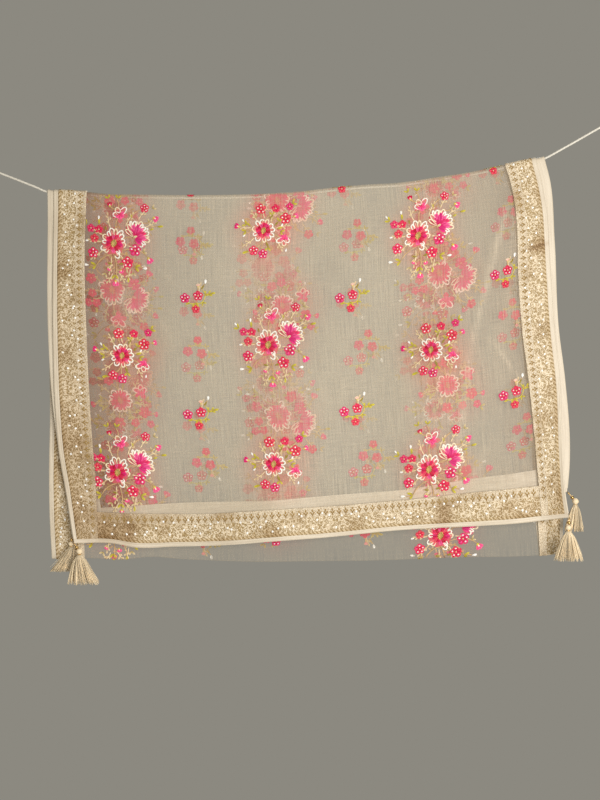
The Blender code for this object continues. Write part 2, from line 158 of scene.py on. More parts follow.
# name, place, width, power, colour
LIGHTS = [
    ("key", (0.9, -2.0, -0.3), 1.5, 46, (1.0, 0.965, 0.92)),
    ("fill", (-1.7, -2.1, -0.3), 1.8, 7, (1.0, 0.92, 0.82)),
    ("rear", (0.6, 2.2, 0.7), 1.6, 32, (1.0, 0.98, 0.95)),
]
for name, at, width, power, colour in LIGHTS:
    lamp = bpy.data.lights.new(name, "AREA")
    lamp.size = width
    lamp.energy = power
    lamp.color = colour
    place(bpy.data.objects.new(name, lamp), at, LIT_PLACE)

eye = bpy.data.cameras.new("camera")
eye.lens = LENS
eye.sensor_width = SENSOR
camera = bpy.data.objects.new("camera", eye)
eye_at = (VIEW_MIDDLE[0], CLOTH_PLANE - VIEW_HEIGHT * LENS / SENSOR, VIEW_MIDDLE[1])
place(camera, eye_at, (VIEW_MIDDLE[0], 0, VIEW_MIDDLE[1]))
bpy.context.scene.camera = camera


# Line
# A white cord of three strands, 3.8 mm thick, drawn taut along the crest. Each end is turned
# back into a loop that goes over a hook, and is bound with three turns of the same cord.

LINE_RADIUS = 1.9 * MM
SEAM_GAP = 0.3 * MM
KNOT_LENGTH = 8 * MM
KNOT_WRAPS = 3
LOOP_RADIUS = 12 * MM
STRAND_TWIST = 2 * math.pi / (14 * MM)
LOOP_TWISTS = 8
LOOP_LENGTH = 75 * MM
LINE_STEP = 1.2 * MM
CORD_SIDES = 12
LOOP_RINGS = 72
WRAP_RADIUS = 2.5 * MM
BINDING_RADIUS = 1.7 * MM
BINDING_MARGIN = 2.6 * MM
# Route of the line: x, z
LINE = [
    (-552, 51), (-511, 36), (-470, 20), (-450, 12), (-438, 6.5), (-426, 3.4), (-400, 1.4),
    (-366, -0.4), (-330, -3.8), (-290, -4.6), (-167, -6), (-69, -4), (0, 0), (72, 8), (119, 12),
    (177, 15.5), (239, 24.5), (298, 33.5), (358, 46), (406, 56.5), (428, 62), (438, 67),
    (454, 76), (479, 90), (521, 114), (556, 133),
]


def curve(table, at):
    """Smooth curve through a table's rows: a cubic between rows, with the slope their neighbours
    give. The table is in mm, and both at and the result are in metres."""
    at_rows, value = np.array(table, float).T * MM
    slope = np.gradient(value, at_rows)
    at = np.clip(at, at_rows[0], at_rows[-1])
    row = np.clip(np.searchsorted(at_rows, at, side="right") - 1, 0, len(at_rows) - 2)
    span = at_rows[row + 1] - at_rows[row]
    part = (at - at_rows[row]) / span
    return (
        value[row]
        + part * part * (3 - 2 * part) * (value[row + 1] - value[row])
        + part * (1 - part) ** 2 * span * slope[row]
        - part * part * (1 - part) * span * slope[row + 1]
    )


def add_piece(name, points, faces, material, uv=None, thread=None, sheer=None):
    """Makes a mesh of points and faces into a piece that rides on the stole."""
    mesh = bpy.data.meshes.new(name)
    mesh.from_pydata(points.reshape(-1, 3).tolist(), [], faces)
    mesh.shade_smooth()
    if uv is not None:
        corners = np.empty(len(mesh.loops), int)
        mesh.loops.foreach_get("vertex_index", corners)
        mesh.uv_layers.new(name="cloth").data.foreach_set("uv", uv.reshape(-1, 2)[corners].ravel())
    if thread is not None:
        colours = np.concatenate([thread.reshape(-1, 3), np.ones((thread.size // 3, 1))], 1)
        mesh.color_attributes.new("thread", "FLOAT_COLOR", "POINT")
        mesh.color_attributes["thread"].data.foreach_set("color", colours.ravel())
    if sheer is not None:
        mesh.attributes.new("sheer", "FLOAT", "POINT").data.foreach_set("value", sheer.ravel())
    mesh.materials.append(material)
    made = bpy.data.objects.new(name, mesh)
    bpy.context.scene.collection.objects.link(made)
    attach(made, "root")
    return made


def grid_faces(rows, columns, wrap=False):
    """Quads between neighbours of a grid; wrap joins its last column to its first."""
    r, c = np.mgrid[: rows - 1, : columns if wrap else columns - 1]
    right = (c + 1) % columns
    quads = [r * columns + c, r * columns + right, (r + 1) * columns + right, (r + 1) * columns + c]
    return np.stack(quads, -1).reshape(-1, 4)


def run_along(path):
    """The run from a path's first point to each of its points, as a column."""
    steps = np.linalg.norm(np.diff(path, axis=0), axis=1)
    return np.concatenate([[0], np.cumsum(steps)])[:, None]


def cord_tube(path, radius, twist=STRAND_TWIST, closed=False):
    """Rings round a path. A ring's radius falls by a seventh between three strands, which turn
    about the path as they run along it."""
    if closed:
        ahead = np.roll(path, -1, 0) - np.roll(path, 1, 0)
    else:
        ahead = np.gradient(path, axis=0)
    ahead /= np.linalg.norm(ahead, axis=1, keepdims=True)
    side = np.cross(ahead, (0.0, 1.0, 0.001))
    side /= np.linalg.norm(side, axis=1, keepdims=True)
    up = np.cross(side, ahead)
    run = run_along(path)
    angle = np.linspace(0, 2 * math.pi, CORD_SIDES, endpoint=False)[None, :]
    strand = 1.5 * angle - twist * run
    reach = radius * (1.02 - 0.2 * np.abs(np.sin(strand)) ** 3)
    ring = side[:, None] * (reach * np.cos(angle))[..., None]
    ring = ring + up[:, None] * (reach * np.sin(angle))[..., None]
    return path[:, None] + ring, run


def tube_faces(rings, closed=False):
    """Quads of a cord that face outwards, with a flat cap on each open end."""
    faces = grid_faces(rings, CORD_SIDES, wrap=True)[:, ::-1].tolist()
    last = (rings - 1) * CORD_SIDES
    k = np.arange(CORD_SIDES)
    if closed:
        ahead = (k + 1) % CORD_SIDES
        return faces + np.stack([k, ahead, last + ahead, last + k], -1).tolist()
    return [*faces, k.tolist(), (last + k[::-1]).tolist()]


def ramp_of(material, value, *stops):
    """A colour ramp through (position, colour) stops."""
    made = add_node(material, "ValToRGB", {"Fac": value})
    first, *others = stops
    made.color_ramp.elements.remove(made.color_ramp.elements[1])
    made.color_ramp.elements[0].position = first[0]
    made.color_ramp.elements[0].color = (*first[1], 1)
    for position, colour in others:
        made.color_ramp.elements.new(position).color = (*colour, 1)
    return made.outputs["Color"]


line_x = np.arange(LINE[0][0] * MM, LINE[-1][0] * MM, LINE_STEP)
line_path = np.stack([line_x, 0 * line_x, curve(LINE, line_x)], -1)
cotton = new_finish("white cotton", (0.84, 0.81, 0.73), 0.72)
cotton_at = add_node(cotton, "TexCoord").outputs["Object"]
fuzz = noise(cotton, cotton_at, 900.0, 3.0)
cotton_tone = ramp_of(cotton, fuzz, (0.30, (0.60, 0.56, 0.48)), (0.65, (0.92, 0.89, 0.80)))
link_shader(cotton, Base_Color=cotton_tone, Normal=bumped(cotton, fuzz, 0.4, 0.3 * MM))

line_rings, line_run = cord_tube(line_path, LINE_RADIUS)
line = add_piece("line_cord", line_rings, tube_faces(len(line_x)), cotton)
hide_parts("line")

line_ends = []
for side, tip, before in (("left", 0, 1), ("right", -1, -2)):
    away = line_path[tip] - line_path[before]
    away /= np.linalg.norm(away)
    up = np.cross(away, (0, 1, 0))
    centre = line_path[tip] + away * (SEAM_GAP + KNOT_LENGTH / 2)
    turn = np.linspace(0, 2 * math.pi * KNOT_WRAPS, 26 * KNOT_WRAPS)[:, None]
    along = (turn / turn[-1] - 0.5) * (KNOT_LENGTH - BINDING_MARGIN)
    wraps = centre + away * along + WRAP_RADIUS * (up * np.cos(turn) + (0, 1, 0) * np.sin(turn))
    knot_rings, _ = cord_tube(wraps, BINDING_RADIUS)
    knot = add_piece(f"knot_{side}", knot_rings, tube_faces(len(wraps)), cotton)
    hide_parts(f"line_knot_{side}")
    middle = centre + away * (SEAM_GAP + KNOT_LENGTH / 2 + LOOP_RADIUS + LINE_RADIUS)
    turn = np.linspace(0, 2 * math.pi, LOOP_RINGS, endpoint=False)[:, None]
    oval = 1 - 0.06 * np.cos(2 * turn)
    ring_path = middle + LOOP_RADIUS * oval * (away * np.cos(turn) + up * np.sin(turn))
    loop_twist = 2 * math.pi * LOOP_TWISTS / LOOP_LENGTH
    loop_rings, _ = cord_tube(ring_path, LINE_RADIUS, twist=loop_twist, closed=True)
    loop = add_piece(f"loop_{side}", loop_rings, tube_faces(LOOP_RINGS, closed=True), cotton)
    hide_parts(f"line_loop_{side}")
    line_ends += [knot, loop]


# Net
# One length of soft net, 870 by 2540 mm with its borders, folded in half and hung over the line.
# It is sheer, so the four layers are one thin sheet that goes over the crest twice and under once.

WALL = 1.0 * MM
BORDER_WIDTH = 57 * MM
FACING_HEIGHT = 48 * MM
LACE_STEP = WALL + SEAM_GAP
INNER_ARC = LINE_RADIUS + SEAM_GAP + LACE_STEP + WALL / 2
OUTER_ARC = INNER_ARC + WALL + 0.4 * MM
REST_DISTANCE = 6.5 * MM
PAIR_GAP = 3.0 * MM
FOLD_RADIUS = 1.9 * MM
SETTLE_DROP = 80 * MM
FOLD_SETTLE = 70 * MM
EDGE_BLEND = 60 * MM
FIRST_DROP = 550 * MM
OUTLINE_PASSES = 4

# Side edges and side seams of the layers, from the bottom up: z, x
FRONT_LEFT = [(-604, -381), (-533, -393), (-443, -410), (-383, -415), (-235, -420), (4, -420)]
FRONT_LEFT_SEAM = [
    (-604, -341), (-502, -347), (-383, -356), (-235, -363), (-80, -366), (4, -363),
]
FRONT_RIGHT_SEAM = [
    (-560, 419), (-503, 414), (-412, 406), (-314, 397), (-235, 387), (-146, 380), (-27, 375),
    (26, 366), (50, 358),
]
FRONT_RIGHT = [
    (-558, 463), (-505, 456), (-452, 454), (-321, 453), (-235, 445), (-79, 435), (-27, 431),
    (26, 421), (61, 412),
]
UNDER_LEFT = [(-596, -387), (-528, -397), (-442, -411), (-338, -423), (-235, -429), (4, -431)]
UNDER_RIGHT = [
    (-517, 466), (-470, 470), (-321, 463), (-235, 453), (-79, 446), (26, 437), (64, 427),
]
BACK_LEFT = [(-634, -425), (-558, -429), (-493, -430), (-383, -428), (-235, -430), (6, -430)]
BACK_RIGHT = [(-630, 464), (-562, 466), (-452, 463), (-235, 448), (-80, 440), (62, 425)]
BACK_RIGHT_SEAM = [(-630, 421), (-562, 417), (-452, 411), (-235, 393), (-80, 384), (62, 368)]
REAR_INSET = 2.5

# Hem and end seam of the front, end seam of the layer under it, and the bottom fold: x, z
FRONT_HEM = [
    (-381, -601), (-312, -603), (-284, -609), (-208, -609), (-115, -605), (-48, -599),
    (41, -593), (177, -580), (320, -572), (409, -564), (463, -555),
]
FRONT_END_SEAM = [
    (-345, -548), (-270, -551), (-167, -552), (-48, -544), (88, -536), (177, -528), (291, -516),
    (409, -503),
]
UNDER_END_SEAM = [
    (-387, -545), (-334, -541), (-187, -533), (-48, -528), (88, -518), (177, -511), (291, -493),
    (409, -476), (466, -466),
]
BACK_FOLD = [
    (-425, -630), (-356, -630), (-300, -633), (-261, -629), (-200, -633), (79, -635),
    (177, -634), (291, -629), (401, -626), (464, -622),
]

Fold = namedtuple("Fold", "x_top z_top x_low z_low width depth")
FOLD_OVERRUN = 0.15
FOLD_FADE = 0.45
FRONT_FOLDS = [
    Fold(-330, -30, -285, -600, 34, 7),
    Fold(-215, -60, -230, -420, 46, 4),
    Fold(-60, -240, -35, -620, 40, 6),
    Fold(90, -20, 60, -330, 50, 5),
    Fold(215, -180, 205, -600, 48, 6),
    Fold(352, 20, 330, -330, 34, 7),
    Fold(395, -330, 350, -560, 44, 5),
]
LOOSE_FOLDS = [
    Fold(-150, -260, -130, -600, 44, 3),
    Fold(20, -380, 110, -580, 40, 4),
    Fold(290, -60, 300, -420, 40, 3),
]
BACK_FOLDS = [
    Fold(-370, -60, -330, -600, 40, 6),
    Fold(-170, -140, -140, -640, 48, 6),
    Fold(30, -60, 10, -460, 44, 5),
    Fold(150, -300, 165, -640, 44, 7),
    Fold(347, -40, 300, -400, 40, 8),
    Fold(400, -420, 390, -630, 44, 5),
]
REAR_FOLDS = [
    Fold(-260, -80, -250, -520, 46, 4),
    Fold(90, -120, 80, -500, 50, 4),
    Fold(250, -200, 240, -560, 46, 3),
]
# Finer creases, which only the finished cloth has
FRONT_CREASES = [
    Fold(-262, -105, -190, -172, 5, 0.8),
    Fold(382, -330, 366, -400, 6, 1.0),
    Fold(350, 40, 368, -60, 7, 1.2),
    Fold(372, 30, 352, -90, 6, -1.0),
    Fold(120, -90, 240, -150, 9, 0.8),
    Fold(-300, -420, -270, -560, 8, 0.9),
    Fold(-90, -60, -20, -230, 12, 0.9),
]
BACK_CREASES = [
    Fold(347, -60, 306, -195, 9, 1.6),
    Fold(306, -190, 255, -390, 9, 1.4),
    Fold(-190, -260, -120, -420, 10, 1.2),
    Fold(60, -380, 180, -500, 10, 1.2),
    Fold(-330, -120, -250, -250, 10, 1.0),
]
# Places where the front net is doubled by a crease and shows fuller, with a painted highlight on it
NET_CREASES = [
    Fold(362, -16, 296, -270, 7, 0.75),
    Fold(296, -262, 276, -470, 9, 0.45),
    Fold(388, -10, 350, -300, 26, 0.22),
    Fold(372, -30, 360, -200, 4, 0.35),
    Fold(352, -16, 366, -60, 5, 0.30),
    Fold(-256, -116, -203, -160, 3, 0.45),
    Fold(-236, -212, -217, -254, 3, 0.40),
    Fold(-142, -208, -106, -253, 3, 0.40),
    Fold(330, -250, 394, -332, 4, 0.60),
    Fold(-60, -300, 30, -320, 4, 0.25),
    Fold(120, -390, 260, -400, 4, 0.25),
    Fold(330, -420, 290, -520, 8, 0.30),
]
Turn = namedtuple("Turn", "x_flat x_edge z_start z_full depth")
FRONT_TURNS = [Turn(396, 463, -280, -520, 26), Turn(-330, -392, -470, -600, 13)]
BACK_TURNS = [Turn(404, 466, -380, -600, 18)]
Wave = namedtuple("Wave", "length lean start depth")
SWAY = [Wave(410, 0.25, 60, 5.0), Wave(233, -0.4, 20, 2.2)]

Layer = namedtuple("Layer", "name face arc left left_seam right_seam right end_seam end")


def shifted(table, by):
    """A table whose values are all moved by so many mm."""
    return [(at, value + by) for at, value in table]


BORDER = BORDER_WIDTH / MM
FOLD_START = shifted(BACK_FOLD, FOLD_RADIUS / MM)
LAYERS = [
    Layer("front", -1, OUTER_ARC, FRONT_LEFT, FRONT_LEFT_SEAM, FRONT_RIGHT_SEAM, FRONT_RIGHT,
          FRONT_END_SEAM, FRONT_HEM),
    Layer("front_under", -1, INNER_ARC, UNDER_LEFT, shifted(UNDER_LEFT, BORDER),
          shifted(UNDER_RIGHT, -BORDER), UNDER_RIGHT, UNDER_END_SEAM,
          shifted(UNDER_END_SEAM, -FACING_HEIGHT / MM)),
    Layer("back_under", 1, INNER_ARC, BACK_LEFT, shifted(BACK_LEFT, BORDER), BACK_RIGHT_SEAM,
          BACK_RIGHT, FOLD_START, BACK_FOLD),
    Layer("back", 1, OUTER_ARC, shifted(BACK_LEFT, REAR_INSET),
          shifted(BACK_LEFT, BORDER + REAR_INSET), shifted(BACK_RIGHT_SEAM, -REAR_INSET),
          shifted(BACK_RIGHT, -REAR_INSET), FOLD_START, BACK_FOLD),
]
LAYERS = {layer.name: layer for layer in LAYERS}
OVER_CREST = {"back": "front", "back_under": "front_under"}
AROUND_FOLD = {"back": "back_under"}


def smooth(value):
    """Runs from 0 to 1 with no corner at either end: 3 squares less 2 cubes."""
    value = np.clip(value, 0, 1)
    return value * value * (3 - 2 * value)


def fold_depth(folds, x, z):
    """Sum of soft ridges, each a bell across a slanting line that fades out at its two ends."""
    total = np.zeros_like(x)
    for fold in folds:
        x_top, z_top, x_low, z_low, width, depth = np.array(fold) * MM
        down = (z_top - z) / (z_top - z_low)
        off = x - (x_top + (x_low - x_top) * down)
        start = smooth((down + FOLD_OVERRUN) / FOLD_FADE)
        fade = start * smooth((1 + FOLD_OVERRUN - down) / FOLD_FADE)
        total += depth * fade * np.exp(-((off / width) ** 2))
    return total


def turn_depth(turns, x, z):
    """A corner's swing: nothing at the border's seam, growing as a square towards its edge."""
    total = np.zeros_like(x)
    for turn in turns:
        x_flat, x_edge, z_start, z_full, depth = np.array(turn) * MM
        out = np.clip((x - x_flat) / (x_edge - x_flat), 0, 1.2)
        total += depth * out**2 * smooth((z_start - z) / (z_start - z_full))
    return total


def distances(x, z):
    """Each layer's distance from the line's plane, and the slow sway that all four share."""
    settled = smooth((curve(LINE, x) - z) / SETTLE_DROP)
    above_fold = smooth((z - curve(BACK_FOLD, x)) / FOLD_SETTLE)
    front_under = REST_DISTANCE + fold_depth(FRONT_FOLDS + FRONT_CREASES, x, z)
    front = front_under + PAIR_GAP + fold_depth(LOOSE_FOLDS, x, z) + turn_depth(FRONT_TURNS, x, z)
    back_under = REST_DISTANCE + fold_depth(BACK_FOLDS + BACK_CREASES, x, z)
    back_under += turn_depth(BACK_TURNS, x, z)
    back = back_under + 2 * FOLD_RADIUS + above_fold * fold_depth(REAR_FOLDS, x, z)
    hanging = {"front": front, "front_under": front_under, "back_under": back_under, "back": back}
    out = {name: LAYERS[name].arc + settled * (hanging[name] - LAYERS[name].arc) for name in hanging}
    sway = np.zeros_like(x)
    for wave in SWAY:
        turns = (x / MM + wave.lean * z / MM + wave.start) / wave.length
        sway += wave.depth * MM * np.sin(2 * math.pi * turns)
    return out, settled * sway


def edge_to_edge(layer, u, z):
    """x at a height: u is 0 at the left edge, 1 and 2 at the two seams and 3 at the right edge."""
    edges = [curve(edge, z) for edge in (layer.left, layer.left_seam, layer.right_seam, layer.right)]
    first = edges[0] + np.clip(u, 0, 1) * (edges[1] - edges[0])
    middle = np.clip(u - 1, 0, 1) * (edges[2] - edges[1])
    return first + middle + np.clip(u - 2, 0, 1) * (edges[3] - edges[2])


def across(layer, u, z, line):
    """x at a height, where a back layer takes the edges of the layer it runs on from: the front's
    at the crest and back_under's at the bottom fold, blended away over 60 mm of cloth."""
    x = edge_to_edge(layer, u, z)
    if layer.name in OVER_CREST:
        other = LAYERS[OVER_CREST[layer.name]]
        step = edge_to_edge(other, u, line) - edge_to_edge(layer, u, line)
        x = x + step * (1 - smooth((line - z) / EDGE_BLEND))
    if layer.name in AROUND_FOLD:
        step = edge_to_edge(LAYERS[AROUND_FOLD[layer.name]], u, z) - edge_to_edge(layer, u, z)
        x = x + step * (1 - smooth((z - curve(BACK_FOLD, x)) / EDGE_BLEND))
    return x


def surface(layer, u, t):
    """Point of a layer. t runs -1 at the crest, 0 beside the line, 1 at the end seam, 2 at the end.

    Over the crest it is a quarter circle round the line, and below it hangs at its distance from
    the line's plane. The back layers end in a quarter circle into the bottom fold.
    """
    u, t = np.broadcast_arrays(np.asarray(u, float), np.asarray(t, float))
    hang, end = np.clip(t, 0, 1), np.clip(t - 1, 0, 1)
    z = -FIRST_DROP * hang
    line = 0 * z
    for _ in range(OUTLINE_PASSES):
        x = across(layer, u, z, line)
        line, seam = curve(LINE, x), curve(layer.end_seam, x)
        z = line + hang * (seam - line)
        if layer.face < 0:
            z = z + end * (curve(layer.end, x) - seam)
    out, sway = distances(x, z)
    y = layer.face * out[layer.name] + sway
    crest = np.clip(-t, 0, 1) * math.pi / 2
    y = np.where(t < 0, layer.face * layer.arc * np.cos(crest), y)
    z = np.where(t < 0, line + layer.arc * np.sin(crest), z)
    if layer.face > 0:
        middle = (out["back_under"] + out["back"]) / 2 + sway
        radius = y - middle
        y = np.where(t > 1, middle + radius * np.cos(end * math.pi / 2), y)
        z = np.where(t > 1, seam - np.abs(radius) * np.sin(end * math.pi / 2), z)
    return np.stack([x, y, z], axis=-1)


PROBE = 2e-3


def moved_out(layer, u, t, distance):
    """Point of a layer moved along its normal, towards the cloth's right side."""
    u, t = np.broadcast_arrays(np.asarray(u, float), np.asarray(t, float))
    at = surface(layer, u, t)
    step_u, step_t = np.where(u > 1.5, -PROBE, PROBE), np.where(t > 0.5, -PROBE, PROBE)
    along_u = (surface(layer, u + step_u, t) - at) * np.sign(step_u)[..., None]
    along_t = (surface(layer, u, t + step_t) - at) * np.sign(step_t)[..., None]
    normal = np.cross(along_u, along_t)
    normal /= np.linalg.norm(normal, axis=-1, keepdims=True)
    right_side = -1 if layer.name in ("front", "back_under") else 1
    return at + right_side * np.asarray(distance)[..., None] * normal


HANG_DROP = 620 * MM
ARC_ROWS = 6


def rows_of_cloth(step, hem):
    """Layer and t of every row from the front's hem, over the crest, round the bottom fold and
    over the crest again to the other hem. hem is the t at which the front layers stop."""
    rows = []
    for name, start, stop in (
        ("front", hem, -1), ("back", -1, 2), ("back_under", 2, -1), ("front_under", -1, hem),
    ):
        hanging = np.linspace(0, 1, int(HANG_DROP / step) + 1)
        crest = np.linspace(-1, 0, ARC_ROWS)[:-1]
        last = hem if name.startswith("front") else 2
        t = np.concatenate([crest, hanging, np.linspace(1, last, ARC_ROWS)[1:] if last > 1 else []])
        if stop < start:
            t = t[::-1]
        if rows:
            t = t[1:]
        rows += [(name, value) for value in t]
    return rows


def on_rows(rows, u, distance):
    """Points of a grid: the given u across each row, moved out by the given distance."""
    points = np.empty((len(rows), len(u), 3))
    names = np.array([name for name, _ in rows])
    t = np.array([value for _, value in rows])
    distance = np.broadcast_to(distance, (len(rows), len(u)))
    for name, layer in LAYERS.items():
        own = names == name
        points[own] = moved_out(layer, np.array(u)[None, :], t[own][:, None], distance[own])
    return points


NET_ROW = 5.5 * MM
NET_COLUMNS = 180
NET_COLOUR = np.array([0.69, 0.61, 0.475])
# How much of the net's light the painted shade takes at a seam, and how far in it reaches
LEFT_PAINTED_SHADE, LEFT_PAINTED_SHADE_REACH = 0.68, 60 * MM
RIGHT_PAINTED_SHADE, RIGHT_PAINTED_SHADE_REACH = 0.26, 80 * MM
PAINTED_SHADE_TINT = np.array([0.78, 1.0, 1.12])
ONE_LAYER_SHEER = 0.58
net_rows = rows_of_cloth(NET_ROW, 1)
net_u = np.linspace(1, 2, NET_COLUMNS)
net_points = on_rows(net_rows, net_u, 0.0)
net_run = run_along(net_points[:, NET_COLUMNS // 2])[:, 0]
net_width = np.linalg.norm(np.diff(net_points, axis=1), axis=-1).sum(1).mean()
net_uv = np.stack(np.meshgrid(net_u * net_width, net_run), -1)

net_names = np.array([name for name, _ in net_rows])[:, None]
net_x, net_z = net_points[..., 0], net_points[..., 2]
in_front = np.char.startswith(net_names, "front") * np.ones_like(net_x)
left_gap = (net_u[None, :] - 1) * net_width
# Painted shade: the net is darkened and browned beside its borders, and its back layers are
# darkened towards the bottom fold. It is fullest where two layers of it lie together in front.
left_painted_shade = LEFT_PAINTED_SHADE * np.exp(-left_gap / LEFT_PAINTED_SHADE_REACH) * in_front
right_painted_shade = RIGHT_PAINTED_SHADE * np.exp(-(net_width - left_gap) / RIGHT_PAINTED_SHADE_REACH) * in_front
painted_seam_shade = np.maximum(left_painted_shade, right_painted_shade)[..., None] * PAINTED_SHADE_TINT
shade = 1 - 0.30 * (1 - in_front) * smooth((-0.44 - net_z) / 0.12)
net_thread = (1 - painted_seam_shade) * shade[..., None] * NET_COLOUR
along_row, down_row = np.gradient(net_points, axis=1), np.gradient(net_points, axis=0)
net_normal = np.cross(along_row, down_row)
net_normal /= np.linalg.norm(net_normal, axis=-1, keepdims=True)
fullness = np.clip(1 + 2.5 * (1 / np.abs(net_normal[..., 1]).clip(0.3) - 1), 1, 1.7)
crease_fullness_and_highlight = fold_depth(NET_CREASES, net_x, net_z) / MM * (net_names == "front")
net_sheer = (ONE_LAYER_SHEER + (1 - ONE_LAYER_SHEER) * in_front) * fullness * (1 + crease_fullness_and_highlight)
# Painted highlight: the net's colour is lightened along its creases
net_thread = net_thread * (1 + 0.20 * crease_fullness_and_highlight)[..., None]

tulle = new_finish("cream net", NET_COLOUR, 0.65, Specular_IOR_Level=0.2)
tulle_sheer = add_node(tulle, "Attribute", attribute_name="sheer").outputs["Fac"]
tulle_at = cloth_map(tulle)
warp = noise(tulle, stretched(tulle, tulle_at, (520.0, 18.0, 1.0)), 1.0, 1.0)
weft = noise(tulle, stretched(tulle, tulle_at, (30.0, 480.0, 1.0)), 1.0, 1.0)
cloudy = noise(tulle, tulle_at, 8.0, 4.0)
weave = calculated(tulle, "MULTIPLY_ADD", warp, 0.55, 0.0)
weave = calculated(tulle, "MULTIPLY_ADD", weft, 0.35, weave)
weave = calculated(tulle, "MULTIPLY_ADD", cloudy, 0.35, weave)
cover = add_node(
    tulle,
    "MapRange",
    {"Value": weave, "From Min": 0.45, "From Max": 0.80, "To Min": 0.10, "To Max": 0.47},
)
cover = calculated(tulle, "MULTIPLY", cover.outputs["Result"], tulle_sheer)
link_shader(tulle, Base_Color=own_colour(tulle), Alpha=cover)
net = add_piece(
    "net", net_points, grid_faces(len(net_rows), NET_COLUMNS).tolist(), tulle, net_uv,
    net_thread, net_sheer,
)
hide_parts(*[f"net_{name}" for name in LAYERS])


# Satin border
# Cream satin 57 mm wide, folded over a cord at its outer edge and back to the wrong side as a
# facing. Two long side strips run the whole length, and each hem has a strip of its own.

STRIP_ROW = 6 * MM
SHARP_FOLD = math.radians(60)
RIGHT_SIDE_DEPTH = 0.3
HEM_COLUMNS = 160
CORNER_COLUMNS = 14
# Where the side strips stop: the piping of the hem crosses them there
STRIP_END = 1.86
# Share of the border's width from the outer edge to the seam, and mm from the net's middle
SATIN_PROFILE = [
    (0.000, 0.10), (0.004, 0.62), (0.022, 1.02), (0.048, 1.12), (0.066, 0.94), (0.078, 0.86),
    (0.096, 1.04), (0.120, 1.00), (0.140, 0.60), (0.165, 0.42), (0.400, 0.40), (0.750, 0.40),
    (1.000, 0.35), (1.000, -0.35), (0.800, -0.42), (0.500, -0.46), (0.200, -0.50),
    (0.110, -0.62), (0.050, -0.86), (0.015, -0.72), (0.001, -0.34),
]


# Places on the front where the border is creased or turned from the light, darkened by painted shade
PAINTED_SHADE_PLACES = [
    Fold(-400, 40, -376, -640, 70, 0.13),
    Fold(-392, -350, -352, -600, 52, 0.16),
    Fold(-326, -535, -320, -612, 34, 0.36),
    Fold(-292, -535, -288, -612, 11, 0.30),
    Fold(258, -520, 250, -580, 15, 0.36),
    Fold(440, -80, 392, -100, 13, 0.50),
]


def painted_shade_tone(points, names):
    """Painted shade for each point of a border, white or brownish, that its colours are multiplied by."""
    painted_shade_share = fold_depth(PAINTED_SHADE_PLACES, points[..., 0], points[..., 2]) / MM * (names == "front")
    return np.clip(1 - painted_shade_share[..., None] * np.array([0.78, 1.0, 1.25]), 0.2, 1)


def rippled(depth, run, share, ripple):
    """A profile's distance in metres, to which ripple adds its waves on the right side alone."""
    return depth * MM + ripple(run, share) * (depth > RIGHT_SIDE_DEPTH)


def closed_strip(name, points, run, share, material, thread):
    """Joins rings of points into a strip with a flat face at each end. U of its map is the run
    along the strip in metres, and V the distance across it from the outer edge."""
    rings, count = points.shape[:2]
    faces = grid_faces(rings, count, wrap=True).tolist()
    last = (rings - 1) * count
    faces += [list(range(count))[::-1], list(range(last, last + count))]
    uv = np.stack([run, share * BORDER_WIDTH + 0 * run], -1)
    made = add_piece(name, points, faces, material, uv, thread)
    made.data.set_sharp_from_angle(angle=SHARP_FOLD)
    return made


def strip(name, rows, side, profile, material, ripple):
    """A strip down one side: a profile carried along the rows of a border. ripple gives the
    change of its distance, from the run along the strip and the share across it."""
    share, depth = np.array(profile).T
    if side == "right":
        share, depth = share[::-1], depth[::-1]
    u = share if side == "left" else 3 - share
    middle = on_rows(rows, [0.5 if side == "left" else 2.5], 0.0)[:, 0]
    run = run_along(middle) + 0 * share
    points = on_rows(rows, u, rippled(depth, run, share, ripple))
    names = np.array([layer for layer, _ in rows])[:, None]
    return closed_strip(name, points, run, share, material, painted_shade_tone(points, names))


def soft_ripple(run, share):
    """Lengthwise wrinkles of the piping and slight puckers across it, as sums of sines."""
    outer = np.where(share < 0.15, 1.0, 0.25)
    along = np.sin(run * 70 + 9 * np.sin(run * 11)) + 0.6 * np.sin(run * 173 + share * 40)
    return outer * along * 0.13 * MM


def mixed(material, share, first, second, blend="MIX"):
    """One colour laid over another by a share, or multiplied by it."""
    made = add_node(
        material, "Mix", {0: share, 6: first, 7: second}, data_type="RGBA", blend_type=blend
    )
    return made.outputs[2]


satin = new_finish("cream satin", (0.66, 0.55, 0.41), 0.40, Sheen_Weight=0.12, Anisotropic=0.4)
satin_lines = noise(satin, stretched(satin, cloth_map(satin), (14.0, 420.0, 1.0)), 1.0, 3.0)
satin_tone = ramp_of(satin, satin_lines, (0.30, (0.62, 0.53, 0.405)), (0.62, (0.73, 0.645, 0.51)))
# The painted shade that the border's points carry, laid on the satin at 45 per cent
satin_painted_shade = mixed(satin, 0.45, (1.0, 1.0, 1.0, 1.0), own_colour(satin))
satin_colour = mixed(satin, 1.0, satin_tone, satin_painted_shade, "MULTIPLY")
link_shader(satin, Base_Color=satin_colour, Normal=bumped(satin, satin_lines, 0.35, 0.6 * MM))

long_rows = rows_of_cloth(STRIP_ROW, STRIP_END)
borders = []
for side in ("left", "right"):
    made = strip(f"satin_{side}", long_rows, side, SATIN_PROFILE, satin, soft_ripple)
    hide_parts(*[f"satin_{side}_{name}" for name in LAYERS])
    borders.append(made)


def hem_strip(name, layer, profile, columns, material, ripple):
    """A strip along a hem: the profile's share runs from the hem up to the end seam."""
    share, depth = np.array(profile).T
    u = np.array(columns)
    if layer.name == "front":
        u = u[::-1]
    middle = surface(layer, u, 1.5)
    run = run_along(middle) + 0 * share
    distance = rippled(depth, run, share, ripple)
    points = moved_out(layer, u[:, None], 2 - share[None, :], distance)
    return closed_strip(name, points, run, share, material, painted_shade_tone(points, layer.name))


